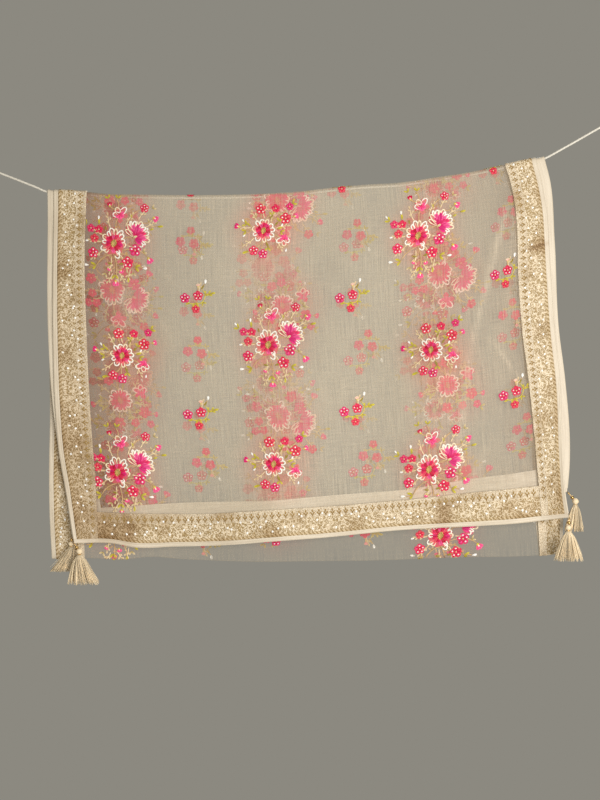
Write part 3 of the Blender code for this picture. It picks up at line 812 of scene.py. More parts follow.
hem_columns = np.linspace(1, 2, HEM_COLUMNS)
for name in ("front", "front_under"):
    made = hem_strip(
        f"hem_satin_{name}", LAYERS[name], SATIN_PROFILE, hem_columns, satin, soft_ripple
    )
    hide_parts(f"satin_end_{name}")
    borders.append(made)

PIPING_PROFILE = [
    *SATIN_PROFILE[:9], (0.140, -0.50), (0.110, -0.62), (0.050, -0.86), (0.015, -0.72), (0.001, -0.34),
]
for name in ("front", "front_under"):
    for side, columns in (("left", (0.02, 1)), ("right", (2, 2.98))):
        borders.append(hem_strip(
            f"piping_{name}_{side}", LAYERS[name], PIPING_PROFILE,
            np.linspace(*columns, CORNER_COLUMNS), satin, soft_ripple,
        ))


# Gold lace
# Ribbon of cream ground worked over with gold thread, 49 mm wide: a corded row at the piping, a
# dense scroll ground with sequins, a fine line, and a plain strip of small florets at the seam.

LACE_PROFILE = [
    (0.142, 0.80), (0.146, 1.45), (0.165, 1.95), (0.215, 2.00), (0.245, 1.72), (0.400, 1.80),
    (0.560, 1.80), (0.690, 1.74), (0.705, 1.95), (0.722, 1.66), (0.830, 1.62), (0.930, 1.66),
    (0.955, 1.98), (0.985, 1.94), (0.998, 1.50), (0.998, 0.80), (0.700, 0.66), (0.400, 0.62),
]


def lace_ripple(run, share):
    """Slight waves along the lace, where its stitches draw it in."""
    return 0.16 * MM * (np.sin(run * 95 + 14 * share) + 0.7 * np.sin(run * 41 + 3 * share))


# Where the scroll ground and the floret strip begin, as shares of the border's width
SCROLLS_FROM = 0.235
FLORETS_FROM = 0.700

lace = new_finish("gold lace", (0.72, 0.57, 0.33), 0.42)
lace_at = cloth_map(lace)
from_edge = add_node(lace, "SeparateXYZ", {"Vector": lace_at}).outputs["Y"]
wander = add_node(lace, "TexNoise", {"Vector": lace_at, "Scale": 170.0, "Detail": 2.0})
wander_by = add_node(
    lace, "VectorMath", {0: wander.outputs["Color"], "Scale": 0.009}, operation="SCALE"
)
scroll_at = add_node(lace, "VectorMath", {0: lace_at, 1: wander_by.outputs["Vector"]}, operation="ADD")
scrolls = add_node(lace, "TexVoronoi", {"Vector": scroll_at.outputs["Vector"], "Scale": 150.0})
scroll_turn = calculated(lace, "MULTIPLY_ADD", scrolls.outputs["Distance"], 13.0, 0.6)
scroll_wave = calculated(lace, "SINE", scroll_turn)
scroll_share = add_node(lace, "MapRange", {"Value": scroll_wave, "From Min": -1.0})
scroll_tone = ramp_of(
    lace, scroll_share.outputs["Result"],
    (0.0, (0.37, 0.25, 0.10)), (0.12, (0.50, 0.36, 0.16)), (0.30, (0.68, 0.54, 0.32)),
    (0.55, (0.80, 0.66, 0.46)), (0.95, (0.92, 0.80, 0.60)),
)
grain = noise(lace, lace_at, 620.0, 2.0)
grain_tone = ramp_of(lace, grain, (0.36, (0.56, 0.45, 0.32)), (0.50, (1.0, 1.0, 1.0)))
strokes_at = add_node(lace, "Mapping", {"Vector": lace_at, "Rotation": (0, 0, 0.7)})
strokes = add_node(
    lace, "TexWave", {"Vector": strokes_at.outputs["Vector"], "Scale": 58.0, "Distortion": 1.5},
)
stroke_tone = ramp_of(lace, strokes.outputs["Fac"], (0.1, (0.42, 0.29, 0.12)), (0.7, (0.78, 0.63, 0.41)))
plain = noise(lace, lace_at, 420.0, 2.0)
plain_tone = ramp_of(lace, plain, (0.34, (0.66, 0.54, 0.37)), (0.58, (0.90, 0.79, 0.61)))
patchy = noise(lace, lace_at, 14.0, 3.0)
patchy_tone = ramp_of(lace, patchy, (0.36, (0.70, 0.62, 0.50)), (0.50, (1.0, 1.0, 1.0)))
in_scrolls = calculated(lace, "GREATER_THAN", from_edge, SCROLLS_FROM * BORDER_WIDTH)
in_florets = calculated(lace, "GREATER_THAN", from_edge, FLORETS_FROM * BORDER_WIDTH)
lace_tone = mixed(lace, in_scrolls, stroke_tone, scroll_tone)
lace_tone = mixed(lace, in_florets, lace_tone, plain_tone)
# The last of these tones is the painted shade that the border's points carry
for tone in (grain_tone, patchy_tone, own_colour(lace)):
    lace_tone = mixed(lace, 1.0, lace_tone, tone, "MULTIPLY")
link_shader(lace, Base_Color=lace_tone, Normal=bumped(lace, scroll_wave, 0.7, 0.5 * MM))

for side in ("left", "right"):
    made = strip(f"lace_{side}", long_rows, side, LACE_PROFILE, lace, lace_ripple)
    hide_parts(*[f"lace_{side}_{name}" for name in LAYERS])
    borders.append(made)
for name in ("front", "front_under"):
    made = hem_strip(
        f"hem_lace_{name}", LAYERS[name], LACE_PROFILE, hem_columns, lace, lace_ripple
    )
    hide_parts(f"lace_end_{name}")
    borders.append(made)


# Embroidery
# Silk flowers worked by machine on the right side of the net: large flowers with couched white
# edges, small florets, buds, leaves and vines. The bobbin thread shows them paler on the wrong
# side, and small white sequins and drop beads are stitched on by hand.

NET_SEAM_TO_SEAM = 757


def dyed(red, green, blue):
    """A thread's colour for the shader, from the 0 to 255 values of a colour card."""
    return tuple((value / 255) ** 2.2 for value in (red, green, blue))


CRIMSON = dyed(196, 6, 58)
ROSE = dyed(240, 44, 100)
MAGENTA = dyed(228, 42, 124)
PINK = dyed(252, 96, 156)
CORAL = dyed(234, 60, 84)
SALMON = dyed(250, 108, 118)
BLUSH = dyed(244, 176, 160)
WHITE = dyed(255, 251, 240)
CREAM = dyed(250, 230, 198)
LEAF = dyed(222, 208, 60)
OLIVE = dyed(154, 134, 50)
VINE = dyed(200, 164, 118)
TWIG = dyed(236, 214, 172)
GOLD = dyed(204, 170, 96)
BRONZE = dyed(120, 90, 40)
FADED = dyed(232, 108, 124)
FADED_VINE = dyed(206, 176, 128)
FADED_EDGE = dyed(250, 196, 176)


def across_from(x, z, ahead, aside, turn):
    """Points ahead of and aside from (x, z), for a shape that is turned by so many degrees."""
    cosine, sine = math.cos(math.radians(turn)), math.sin(math.radians(turn))
    return np.stack([x + ahead * cosine - aside * sine, z + ahead * sine + aside * cosine], -1)


def petal(x, z, turn, length, width, lift, root, tip, steps=5, taper=0.8, broad=0.8, columns=5):
    """Domed petal or leaf from its root at (x, z). Its half width is a power of the sine of half
    a turn from root to tip, broader towards the tip, and its height that sine times a bell. Slim
    ones have three columns of points across."""
    angle = np.linspace(0.12, math.pi - 0.12, steps + 1)[:, None]
    v = np.linspace(-1, 1, columns)[None, :]
    share = (1 - np.cos(angle)) / 2
    half = width / 2 * np.sin(angle) ** taper * (1 + broad * (share - 0.5))
    ahead, aside = length * share + 0 * v, half * v
    height = lift * np.sin(angle) ** 0.5 * (1 - 0.75 * v**2)
    blend = (share**0.8 + 0 * v)[..., None]
    thread = np.array(root) * (1 - blend) + np.array(tip) * blend
    thread = thread * (1 + 0.30 * np.cos(9 * v + 4 * share))[..., None]
    points = across_from(x, z, ahead, aside, turn)
    return points, height, thread, grid_faces(steps + 1, columns), np.stack([ahead, aside], -1)


def thread_line(points, width, lift, colour):
    """Raised thread along a line: three points across, the middle one lifted."""
    points = np.array(points, float)
    ahead = np.gradient(points, axis=0)
    ahead /= np.linalg.norm(ahead, axis=1, keepdims=True) + 1e-9
    side = np.stack([-ahead[:, 1], ahead[:, 0]], -1)[:, None] * np.array([0.5, 0, -0.5])[:, None]
    ends = np.sin(np.linspace(0.25, math.pi - 0.25, len(points))) ** 0.4
    grid = points[:, None] + side * (width * ends)[:, None, None]
    height = np.array([0.15, 1, 0.15]) * lift * ends[:, None]
    shade = 1 + 0.16 * np.sin(np.arange(len(points)) * 1.9)
    thread = np.array(colour) * shade[:, None, None] * np.ones((1, 3, 1))
    run = run_along(points)
    aside = np.array([-0.5, 0, 0.5]) * width + 0 * run
    uv = np.stack([run + np.zeros(3), aside], -1)
    return grid, height, thread, grid_faces(len(points), 3)[:, ::-1], uv


def at_turn(x, z, turn, far):
    """The point that lies so far from (x, z), in a direction given in degrees."""
    return x + far * math.cos(math.radians(turn)), z + far * math.sin(math.radians(turn))


def open_petal(x, z, turn, reach, half_width, width=2.2, colour=WHITE, bare=0.0):
    """Cord couched in a long U that starts at (x, z): a slim oval, open at its root. bare leaves
    out a share of it at one side, where the cord goes under the next petal."""
    angle = np.linspace(-2.5 + bare, 2.5, 11)
    ahead = reach * (0.5 + 0.5 * np.cos(angle))
    return thread_line(across_from(x, z, ahead, half_width * np.sin(angle), turn), width, 1.1, colour)


def stem(x, z, x_end, z_end, bow, width=1.9, colour=VINE):
    """Outline stitch from (x, z) to (x_end, z_end), bowed aside by a share of its length."""
    s = np.linspace(0, 1, 7)[:, None]
    start, stop = np.array([x, z], float), np.array([x_end, z_end], float)
    aside = np.array([start[1] - stop[1], stop[0] - start[0]]) * bow
    return thread_line(start + (stop - start) * s + aside * 4 * s * (1 - s), width, 0.5, colour)


def bead(x, z, radius, lift=1.2, colour=WHITE):
    """A round bead as a small dome."""
    return petal(x - radius, z, 0, 2 * radius, 2 * radius, lift, colour, colour, 3, 0.8, 0.0)


LARGE_FLORET = 7.9


def floret(x, z, radius, root=CORAL, tip=SALMON, turn=90):
    """Five round petals with dark rims about a yellow middle. A large floret has a white bead on
    four of them."""
    rim = 0.4 * np.array(CRIMSON) + 0.6 * np.array(root)
    petals, knots = [], []
    for k in range(5):
        angle = turn + 72 * k
        petals.append(petal(x, z, angle, radius, radius * 0.80, 0.7, CRIMSON, rim, 4))
        inner = at_turn(x, z, angle, 0.28 * radius)
        petals.append(petal(*inner, angle, radius * 0.62, radius * 0.48, 1.2, root, tip, 3, columns=3))
        if radius > LARGE_FLORET and k != int(abs(x)) % 5:
            knots.append(bead(*at_turn(x, z, angle, 0.60 * radius), 0.16 * radius, 1.9))
    petals.append(petal(x - 1.4, z, 0, 2.8, 2.8, 1.6, GOLD, CREAM, steps=3))
    return petals, knots


def drop(x, z, turn, length=6.0):
    """A white drop bead, rounder at its far end."""
    return petal(x, z, turn, length, length * 0.5, 1.5, WHITE, WHITE, 4, 0.9, 1.0)


def bud(x, z, turn, size, tip=PINK):
    """A closed bud: pink petals in a yellow cup, with a white stitch between them."""
    parts = [
        petal(x, z, turn + off, size, size * 0.5, 0.9, ROSE, tip, 4, columns=3) for off in (-26, 26, 0)
    ]
    parts.append(petal(x, z, turn, size * 0.66, size * 0.3, 1.3, WHITE, WHITE, 3, columns=3))
    parts.append(petal(x, z, turn + 180, size * 0.1, size * 0.4, 1.2, LEAF, LEAF, 3, columns=3))
    parts.append(petal(x, z, turn, size * 0.4, size * 0.62, 1.1, LEAF, LEAF, 3, columns=3))
    return parts


def leaf(x, z, turn, length=7.5, colour=LEAF):
    """A pointed leaf, darker at its root."""
    return petal(x, z, turn, 1.1 * length, length * 0.44, 0.8, OLIVE, colour, 4, 1.1, 0.0, 3)


def sprout(x, z, turn, length=7.0, colour=LEAF):
    """A pair of leaves that open from one point."""
    return [leaf(x, z, turn + 38, length, colour), leaf(x, z, turn - 38, length, colour)]


def twig(x, z, turn, length, colour=TWIG):
    """A thin stem with slim leaves in turn to its left and right, and one at its tip."""
    parts = [stem(x, z, *at_turn(x, z, turn, length), 0.06, 1.7, colour)]
    for share, off in ((0.4, 42), (0.62, -42), (0.82, 38), (1.0, 0)):
        root = at_turn(x, z, turn, share * length)
        parts.append(petal(*root, turn + off, 6.8, 2.5, 0.6, VINE, colour, 3, columns=3))
    return parts


def large_flower(radius, count, turn, edges):
    """A round flower: ragged petals about an oval gold eye. The petals beyond them are open, with
    a couched edge alone, and edges gives the turn and reach of each as a share of the radius."""
    silk, white = [], []
    for k in range(2 * count):
        angle = turn + 180 * k / count
        root = at_turn(0, 0, angle, 0.24 * radius)
        length = radius * (0.64 + 0.13 * math.sin(2.3 * k + 1) - 0.06 * (k % 2))
        tip = (ROSE, PINK, CRIMSON, ROSE, MAGENTA, ROSE, SALMON)[k % 7]
        lift = 1.0 + 0.3 * (k % 2)
        silk.append(petal(*root, angle, length, 3.3 * radius / count, lift, CRIMSON, tip))
    for k in range(count):
        angle = turn + 360 * k / count + 12
        root = at_turn(0, 0, angle, 0.2 * radius)
        silk.append(petal(*root, angle, 0.6 * radius, 0.14 * radius, 1.7, CRIMSON, CRIMSON, 4))
    for k, (angle, reach) in enumerate(edges):
        start = (0.80 if reach > 1.2 else 0.72) * radius
        root, length = at_turn(0, 0, angle, start), radius * reach - start
        wide = radius * (2.6 / len(edges) + 0.05 * math.sin(2.9 * k))
        tilt = angle + 9 * math.sin(4.3 * k)
        thick = 2.3 + 0.5 * math.sin(3.1 * k)
        colour = CREAM if k % 3 == 2 else WHITE
        white.append(open_petal(*root, tilt, length, wide, thick, colour, 1.1 * (k % 2)))
        if k % 2:
            silk.append(petal(*root, tilt, 0.7 * length, 0.5 * wide, 0.6, SALMON, BLUSH, 4))
    silk.append(petal(-0.12 * radius, -0.44 * radius, 74, 0.92 * radius, 0.66 * radius, 1.8, GOLD, GOLD,
                      5, 0.8, 0.0))
    for k in range(9):
        angle = 25 + 41 * k
        root = at_turn(0, 0, angle, 0.12 * radius)
        silk.append(petal(*root, angle, 0.24 * radius, 0.08 * radius, 2.3, BRONZE, BRONZE, 3))
    floats = [
        petal(0, 0, turn + 60 * k, 1.2 * radius, 1.2 * radius, 0.3, CRIMSON, ROSE, 3) for k in range(6)
    ]
    return silk, white, floats


def fan_flower(x, z, size):
    """A flower seen from the side: striped petals fan out of one point and are capped with white
    cord, and the two behind them are open, with a crimson edge."""
    silk, white = [], []
    petals = (
        (98, 1.00), (72, 1.04), (47, 0.95), (21, 0.98), (-10, 1.02), (-46, 0.84), (84, 0.78), (34, 0.74),
        (6, 0.76), (-28, 0.72),
    )
    for k, (turn, length) in enumerate(petals):
        tip = (PINK, MAGENTA, PINK, ROSE)[k % 4]
        silk.append(petal(x, z, turn, size * length * 0.84, size * 0.36, 1.0 + 0.2 * (k > 5), MAGENTA,
                          tip, 6))
        silk.append(petal(x, z, turn + 13, size * length * 0.6, size * 0.10, 1.6, CRIMSON, MAGENTA, 4))
    for k, (turn, length) in enumerate(petals[:6]):
        for off, wide in ((-8, 0.13), (11, 0.07)):
            root = at_turn(x, z, turn + off, size * length * (0.60 + 0.05 * ((k + off) % 3)))
            colour = CREAM if k % 3 == 1 else WHITE
            white.append(open_petal(*root, turn + 0.5 * off, 0.38 * size, wide * size, 2.5, colour,
                                    1.2 * (k % 2)))
    for turn, length in ((122, 0.95), (146, 0.78)):
        white.append(open_petal(x, z, turn, size * length, 0.13 * size, 2.0, CREAM))
        silk.append(stem(x - 2, z, *at_turn(x, z, turn + 9, size * length), 0.12, 1.4, CRIMSON))
    silk.append(petal(x - 3, z - 3, 25, 9, 5, 2.0, GOLD, CREAM, 4))
    floats = [
        petal(x, z, turn, size, 0.6 * size, 0.3, CRIMSON, MAGENTA, 3) for turn in (110, 70, 30, -10, -45)
    ]
    return silk, white, floats


def loop_flower(x, z, size, turn):
    """A small flower: a pink heart, and three open petals of white cord, one with a crimson rim."""
    silk = [
        petal(x, z, turn + off, size * 0.5, size * 0.36, 1.2, ROSE, PINK, 4) for off in (150, 215, 275, 330)
    ]
    white = []
    for k, angle in enumerate((turn - 10, turn + 60, turn + 118)):
        colour = CREAM if k == 1 else WHITE
        white.append(open_petal(x, z, angle, size * (0.95 - 0.12 * k), size * 0.26, 2.0, colour))
        silk.append(petal(x, z, angle + 28, size * 0.8, size * 0.1, 0.7, CRIMSON, ROSE, 4))
    floats = [
        petal(x, z, turn + off, 0.85 * size, 0.5 * size, 0.3, CRIMSON, ROSE, 3)
        for off in (-10, 60, 118, 215, 290)
    ]
    return silk, white, floats


def joined(parts):
    """Points, heights, threads, faces and maps of several stitched shapes as one."""
    if not parts:
        return None
    counts = np.cumsum([0] + [part[1].size for part in parts[:-1]])
    return (
        np.concatenate([part[0].reshape(-1, 2) for part in parts]),
        np.concatenate([part[1].ravel() for part in parts]),
        np.concatenate([part[2].reshape(-1, 3) for part in parts]),
        np.concatenate([part[3] + start for part, start in zip(parts, counts)]),
        np.concatenate([part[4].reshape(-1, 2) for part in parts]),
    )


def motif(flowers, florets, buds, leaves, sprouts, twigs, drops, stems):
    """A motif's shapes by the way they are worked: silk, small florets, couched cord, vines, beads,
    and the floats, which are the loose threads that cross from petal to petal on the wrong side."""
    silk = [part for flower in flowers for part in flower[0]]
    white = [part for flower in flowers for part in flower[1]]
    beads, small = [drop(*row) for row in drops], []
    for row in florets:
        petals, knots = floret(*row)
        small += petals
        beads += knots
    for row in buds:
        small += bud(*row)
    vines = [stem(*row) for row in stems] + [leaf(*row) for row in leaves]
    for row in sprouts:
        vines += sprout(*row)
    for row in twigs:
        vines += twig(*row)
    return {
        "silk": joined(silk), "florets": joined(small), "couching": joined(white),
        "vines": joined(vines), "beads": joined(beads),
        "floats": joined([part for flower in flowers for part in flower[2]]),
    }


ROUND_EDGES = [
    (4, 1.36), (34, 1.30), (66, 1.42), (97, 1.34), (130, 1.46), (166, 1.36), (199, 1.30), (236, 1.42),
    (274, 1.38), (303, 1.34), (334, 1.42),
]
LONG_EDGES = [
    (42, 1.30), (60, 1.55), (80, 1.50), (100, 1.56), (121, 1.34), (143, 1.36), (170, 1.16), (208, 1.44),
    (226, 1.26), (284, 1.56), (300, 1.20), (352, 1.22), (14, 1.14),
]
# The round cluster: its middle is the large flower, x is to the right and z towards the crest
ROUND_CLUSTER = motif(
    flowers=[large_flower(14.5, 6, 80, ROUND_EDGES), loop_flower(36, -15, 15, 210)],
    florets=[
        (-4, 38, 9.5), (22, 38, 7.5, ROSE, CORAL), (47, 40, 7, MAGENTA, PINK), (39, 20, 10),
        (-17, -34, 8.6, ROSE, SALMON), (-1, -40, 8.4, MAGENTA, PINK),
    ],
    buds=[(54, 22, 15, 8), (-42, 8, 165, 9, MAGENTA)],
    leaves=[
        (-24, 8, 120, 7), (24, 2, 20, 9), (5, -20, 290, 9, OLIVE), (12, 20, 60, 9, OLIVE),
        (-26, -35, 195, 10), (20, 8, 50, 8, OLIVE),
    ],
    sprouts=[
        (-29, 11, 150, 8), (-30, 0, 200, 8), (16, 27, 100, 7), (52, 45, 25, 8), (27, 15, 70, 7),
        (8, -29, 265, 7), (28, 26, 60, 6, TWIG), (-12, 24, 130, 6, TWIG), (30, -2, 330, 7),
    ],
    twigs=[
        (14, 14, 78, 20), (-10, 16, 118, 18), (22, 4, 8, 18), (-16, -12, 215, 18), (20, -14, 300, 20),
        (2, 22, 95, 18), (-22, 6, 175, 16),
    ],
    drops=[(-34, 16, 120), (31, 6, 60), (-31, -6, 215), (40, -32, 260)],
    stems=[
        (0, 16, -4, 32, 0.1), (4, 16, 22, 32, 0.15), (22, 30, 44, 38, -0.2), (8, 14, 34, 19, 0.15),
        (40, 20, 55, 22, 0.1), (-16, 3, -43, 7, 0.1), (-20, 5, -32, 16, -0.15),
        (16, 2, 30, 5, 0.1), (4, -16, 7, -28, 0.1), (-2, -16, -14, -29, 0.15),
        (0, -18, -2, -34, -0.1), (14, -8, 30, -15, 0.15), (-18, -34, -30, -37, 0.1),
        (-20, 4, -32, -4, 0.15), (12, 10, 14, 28, -0.15),
    ],
)
# The long cluster: a large flower, one seen from the side above it, and buds that hang below
LONG_CLUSTER = motif(
    flowers=[
        large_flower(17, 7, 65, LONG_EDGES), fan_flower(36, 13, 25), loop_flower(9, 50, 17, 60),
    ],
    florets=[
        (52, 62, 8, ROSE, CORAL), (-41, 24, 7.4, MAGENTA, SALMON), (-27, 23, 7.6, ROSE, CORAL),
        (-34, 7, 7.8, CORAL, SALMON), (-36, -18, 9.4, ROSE, PINK), (37, -11, 10.6, MAGENTA, PINK),
        (24, -32, 10.4, ROSE, CORAL),
    ],
    buds=[
        (-9, 64, 100, 8, CRIMSON), (68, 46, 330, 10), (-7, -42, 250, 6), (12, -45, 285, 7),
        (3, -64, 268, 10), (60, -24, 300, 11),
    ],
    leaves=[
        (-27, 31, 90, 9), (25, -57, 265, 9), (76, 30, 5, 9), (-14, 22, 100, 7, OLIVE),
        (-2, -36, 165, 8, OLIVE), (9, -36, 15, 8, OLIVE), (62, 24, 20, 7), (30, 44, 100, 6),
    ],
    sprouts=[
        (-49, 30, 140, 8), (-31, -39, 195, 9), (37, -40, 345, 9), (51, -14, 20, 7, TWIG),
        (-12, 78, 120, 7), (4, 78, 80, 7), (33, -50, 270, 7, TWIG), (-14, -52, 240, 7, TWIG),
        (66, 62, 30, 7, TWIG), (2, -54, 270, 8), (60, 38, 60, 6, TWIG),
    ],
    twigs=[
        (20, 30, 62, 22), (42, 42, 52, 18), (54, 28, 24, 16), (-6, 26, 105, 22), (-18, -10, 222, 24),
        (12, -20, 292, 26), (-4, -24, 262, 24), (-22, 2, 175, 18), (24, -4, 340, 18), (8, -50, 300, 14),
        (-2, -52, 238, 14), (-20, 14, 150, 18), (28, -44, 255, 16),
    ],
    drops=[(-44, 2, 180), (-44, -40, 180, 8), (50, -42, 0, 8), (-52, 35, 130), (-28, 40, 90, 7)],
    stems=[
        (0, -18, 3, -62, 0.08), (-3, -19, -30, -39, -0.12), (6, -19, 25, -58, 0.12),
        (9, -17, 37, -39, 0.18), (14, -12, 60, -23, 0.16), (-17, 4, -34, 5, 0.1),
        (-15, 9, -42, 22, -0.12), (-15, -8, -34, -19, 0.15), (4, 21, 7, 46, 0.12),
        (6, 60, -10, 67, 0.2), (6, 62, 2, 77, -0.1), (30, 30, 49, 60, 0.25),
        (50, 36, 67, 45, -0.2), (54, 22, 76, 31, 0.1), (-30, -39, -42, -41, 0.1),
        (16, 6, 32, 10, 0.2), (2, -40, -9, -44, 0.2), (4, -42, 12, -46, -0.2), (37, -39, 50, -42, 0.1),
        (50, 22, 66, 14, 0.1), (-1, -30, -12, -34, 0.1), (2, -50, 14, -54, 0.1),
    ],
)
SPRIG = motif(
    flowers=[],
    florets=[(-13, 5, 8.8, MAGENTA, PINK), (10, 9, 8.8, ROSE, CORAL), (5, -14, 7.4)],
    buds=[(11, 24, 95, 6, CREAM)],
    leaves=[(31, 12, 10, 9), (-5, -4, 190, 7), (16, 20, 55, 8, OLIVE)],
    sprouts=[(5, -3, 270, 8), (22, 10, 40, 7), (18, -2, 300, 6), (28, 11, 20, 7)],
    twigs=[(12, 16, 75, 10)],
    drops=[(23, 29, 80, 8)],
    stems=[
        (-9, -1, 6, -3, -0.2, 1.5, LEAF), (6, -3, 20, 2, -0.25, 1.5, LEAF),
        (20, 2, 18, 20, -0.2, 1.3, LEAF), (12, 14, 11, 26, 0.1), (19, 10, 32, 12, 0.1),
        (16, 18, 23, 29, 0.1), (4, -4, 5, -9, 0.1),
    ],
)
# Where each layer's motifs are: the share across the net, and the run from the crest in mm
PLACES = {
    "front": (
        [(0.068, 90), (0.0795, 283), (0.053, 484)], [(0.414, 69), (0.4155, 266), (0.4075, 471)],
        [(0.7715, 101), (0.7855, 301), (0.757, 506)],
        [(0.237, -14), (0.594, -6), (0.962, -4), (0.248, 188), (0.604, 202), (0.962, 197),
         (0.239, 388), (0.594, 398), (0.957, 407)],
    ),
    "front_under": (
        [(0.072, -25), (0.072, 168), (0.077, 358), (0.072, 548)],
        [(0.448, 15), (0.454, 197), (0.427, 387), (0.44, 577)],
        [(0.812, -18), (0.809, 168), (0.809, 364), (0.809, 548)],
        [(0.244, 78), (0.621, 81), (0.972, 78), (0.254, 267), (0.6375, 273), (0.964, 256),
         (0.2495, 459), (0.627, 465), (0.972, 458)],
    ),
    "back_under": (
        [(0.072, 207), (0.072, 403), (0.060, 570)], [(0.420, 182), (0.420, 378), (0.424, 564)],
        [(0.786, 207), (0.786, 403), (0.786, 624)],
        [(0.248, 100), (0.617, 110), (0.968, 110), (0.250, 304), (0.617, 308), (0.968, 304),
         (0.250, 496), (0.617, 503), (0.968, 496)],
    ),
    "back": (
        [(0.070, 107), (0.070, 306), (0.070, 507)], [(0.412, 132), (0.412, 331), (0.412, 532)],
        [(0.780, 107), (0.780, 306), (0.780, 507)],
        [(share, run) for run in (199, 398, 599) for share in (0.246, 0.607, 0.966)],
    ),
}
# The cluster that comes first in each column: the next one down is always of the other kind
FIRST_LONG = {
    "front": (True, False, True), "front_under": (False, True, False),
    "back_under": (True, False, True), "back": (False, True, False),
}


def down_the_cloth(layer, u, run):
    """t of a point that lies a run of cloth below the crest, and the run down to the fold."""
    arc = layer.arc * math.pi / 2
    line = curve(LINE, edge_to_edge(layer, u, -run))
    for _ in range(3):
        x = across(layer, u, line - (run - arc), line)
        line = curve(LINE, x)
    drop_to_seam = line - curve(layer.end_seam, x)
    last = FACING_HEIGHT if layer.face < 0 else FOLD_RADIUS * math.pi / 2
    t = np.where(run < arc, run / arc - 1, (run - arc) / drop_to_seam)
    t = np.where(t > 1, 1 + (run - arc - drop_to_seam) / last, t)
    return np.minimum(t, 2), arc + drop_to_seam + FOLD_RADIUS * math.pi / 2


def on_cloth(name, u, run, lift):
    """Points and t on the cloth at a place across it and a run from the crest. A negative run is
    over the crest, and one that is longer than the cloth down to the fold is round it."""
    other = {"front": "back", "back": "front", "front_under": "back_under", "back_under": "front_under"}
    points, ends = np.empty((len(u), 3)), np.zeros(len(u))
    _, full = down_the_cloth(LAYERS[name], u, run)
    round_fold = name.startswith("back") & (run > full)
    beyond = "back" if name == "back_under" else "back_under"
    for where, layer, at in (
        (run < 0, other[name], -run),
        (round_fold, beyond, 2 * full - run),
        ((run >= 0) & ~round_fold, name, run),
    ):
        if where.any():
            layer = LAYERS[layer]
            t, _ = down_the_cloth(layer, u[where], at[where])
            points[where] = moved_out(layer, u[where], t, lift[where])
            ends[where] = t if layer.face < 0 else 0
    return points, ends


# Painted light: the net round each cluster is tinted pink, as the silk seen blurred through the layers, and
# is made fuller
HALO = np.array(dyed(238, 128, 112))
HALO_REACH = 60 * MM
HALO_ASIDE = 8 * MM
HALO_SHARE = 0.45
halo = np.zeros_like(net_x)
for layer in LAYERS:
    own = net_names[:, 0] == layer
    for share, run in (place for column in PLACES[layer][:3] for place in column):
        middle, _ = on_cloth(layer, np.array([1 + share]), np.array([run * MM]), np.zeros(1))
        away = np.hypot(net_x[own] - middle[0, 0] - HALO_ASIDE, net_z[own] - middle[0, 2]) / HALO_REACH
        halo[own] = np.maximum(halo[own], HALO_SHARE * np.exp(-(away**4)))
net_thread = net_thread + halo[..., None] * (HALO * net_thread / 0.6 - net_thread)
halo_colours = np.concatenate([net_thread.reshape(-1, 3), np.ones((halo.size, 1))], 1)
net.data.color_attributes["thread"].data.foreach_set("color", halo_colours.ravel())
net.data.attributes["sheer"].data.foreach_set("value", (net_sheer * (1 + 0.5 * halo)).ravel())


def sew(name, stitched, material, wrong_side=False):
    """Joins stitched shapes, given as points, threads, quads and maps, into one piece."""
    counts = np.cumsum([0] + [len(part[0]) for part in stitched[:-1]])
    points, threads, maps = (np.concatenate([part[k] for part in stitched]) for k in (0, 1, 3))
    faces = np.concatenate([part[2] + start for part, start in zip(stitched, counts)])
    used, faces = np.unique(faces, return_inverse=True)
    faces = faces.reshape(-1, 4)[:, ::-1] if wrong_side else faces.reshape(-1, 4)
    return add_piece(name, points[used], faces.tolist(), material, maps[used], threads[used])


BOBBIN_SHARE = 0.42


def embroider(name, worked, material, wrong_side=False):
    """Sews one kind of work of every motif on to the net, and cuts it off at the border's seam."""
    stitched = []
    shade = np.random.default_rng(7)
    for layer in LAYERS:
        *columns, sprigs = PLACES[layer]
        placed = [(SPRIG, *place) for place in sprigs]
        for column, first in zip(columns, FIRST_LONG[layer]):
            for k, place in enumerate(column):
                placed.append((LONG_CLUSTER if (k % 2 == 0) == first else ROUND_CLUSTER, *place))
        upright = 1 if layer in ("front", "back_under") else -1
        for shapes, share, run in placed:
            tone = 1 + 0.06 * shade.standard_normal()
            if shapes[worked] is None:
                continue
            at, lift, thread, quads, uv = shapes[worked]
            u = 1 + share + at[:, 0] / NET_SEAM_TO_SEAM
            depth = -(0.22 + 0.25 * lift) * MM if wrong_side else (0.15 + 0.75 * lift) * MM
            made, ends = on_cloth(layer, u, (run - upright * at[:, 1]) * MM, depth)
            kept = (ends < 1) & (u > 1) & (u < 2)
            if wrong_side:
                pale = {"vines": FADED_VINE, "couching": FADED_EDGE}.get(worked, FADED)
                thread = BOBBIN_SHARE * thread + (1 - BOBBIN_SHARE) * np.array(pale)
            stitched.append((made, thread * tone, quads[kept[quads].all(1)], uv * MM))
    return sew(name, stitched, material, wrong_side)


def thread_finish(name, roughness, fineness):
    """Thread coloured by the piece's own attribute, with fine ridges along each stitch."""
    material = new_finish(name, (0.8, 0.2, 0.3), roughness, Specular_IOR_Level=0.35)
    ridges = add_node(
        material,
        "TexWave",
        {"Vector": cloth_map(material), "Scale": fineness, "Distortion": 1.5, "Detail": 2.0},
        bands_direction="Y",
    )
    bump = bumped(material, ridges.outputs["Fac"], 0.5, 0.25 * MM)
    link_shader(material, Base_Color=own_colour(material), Normal=bump)
    return material


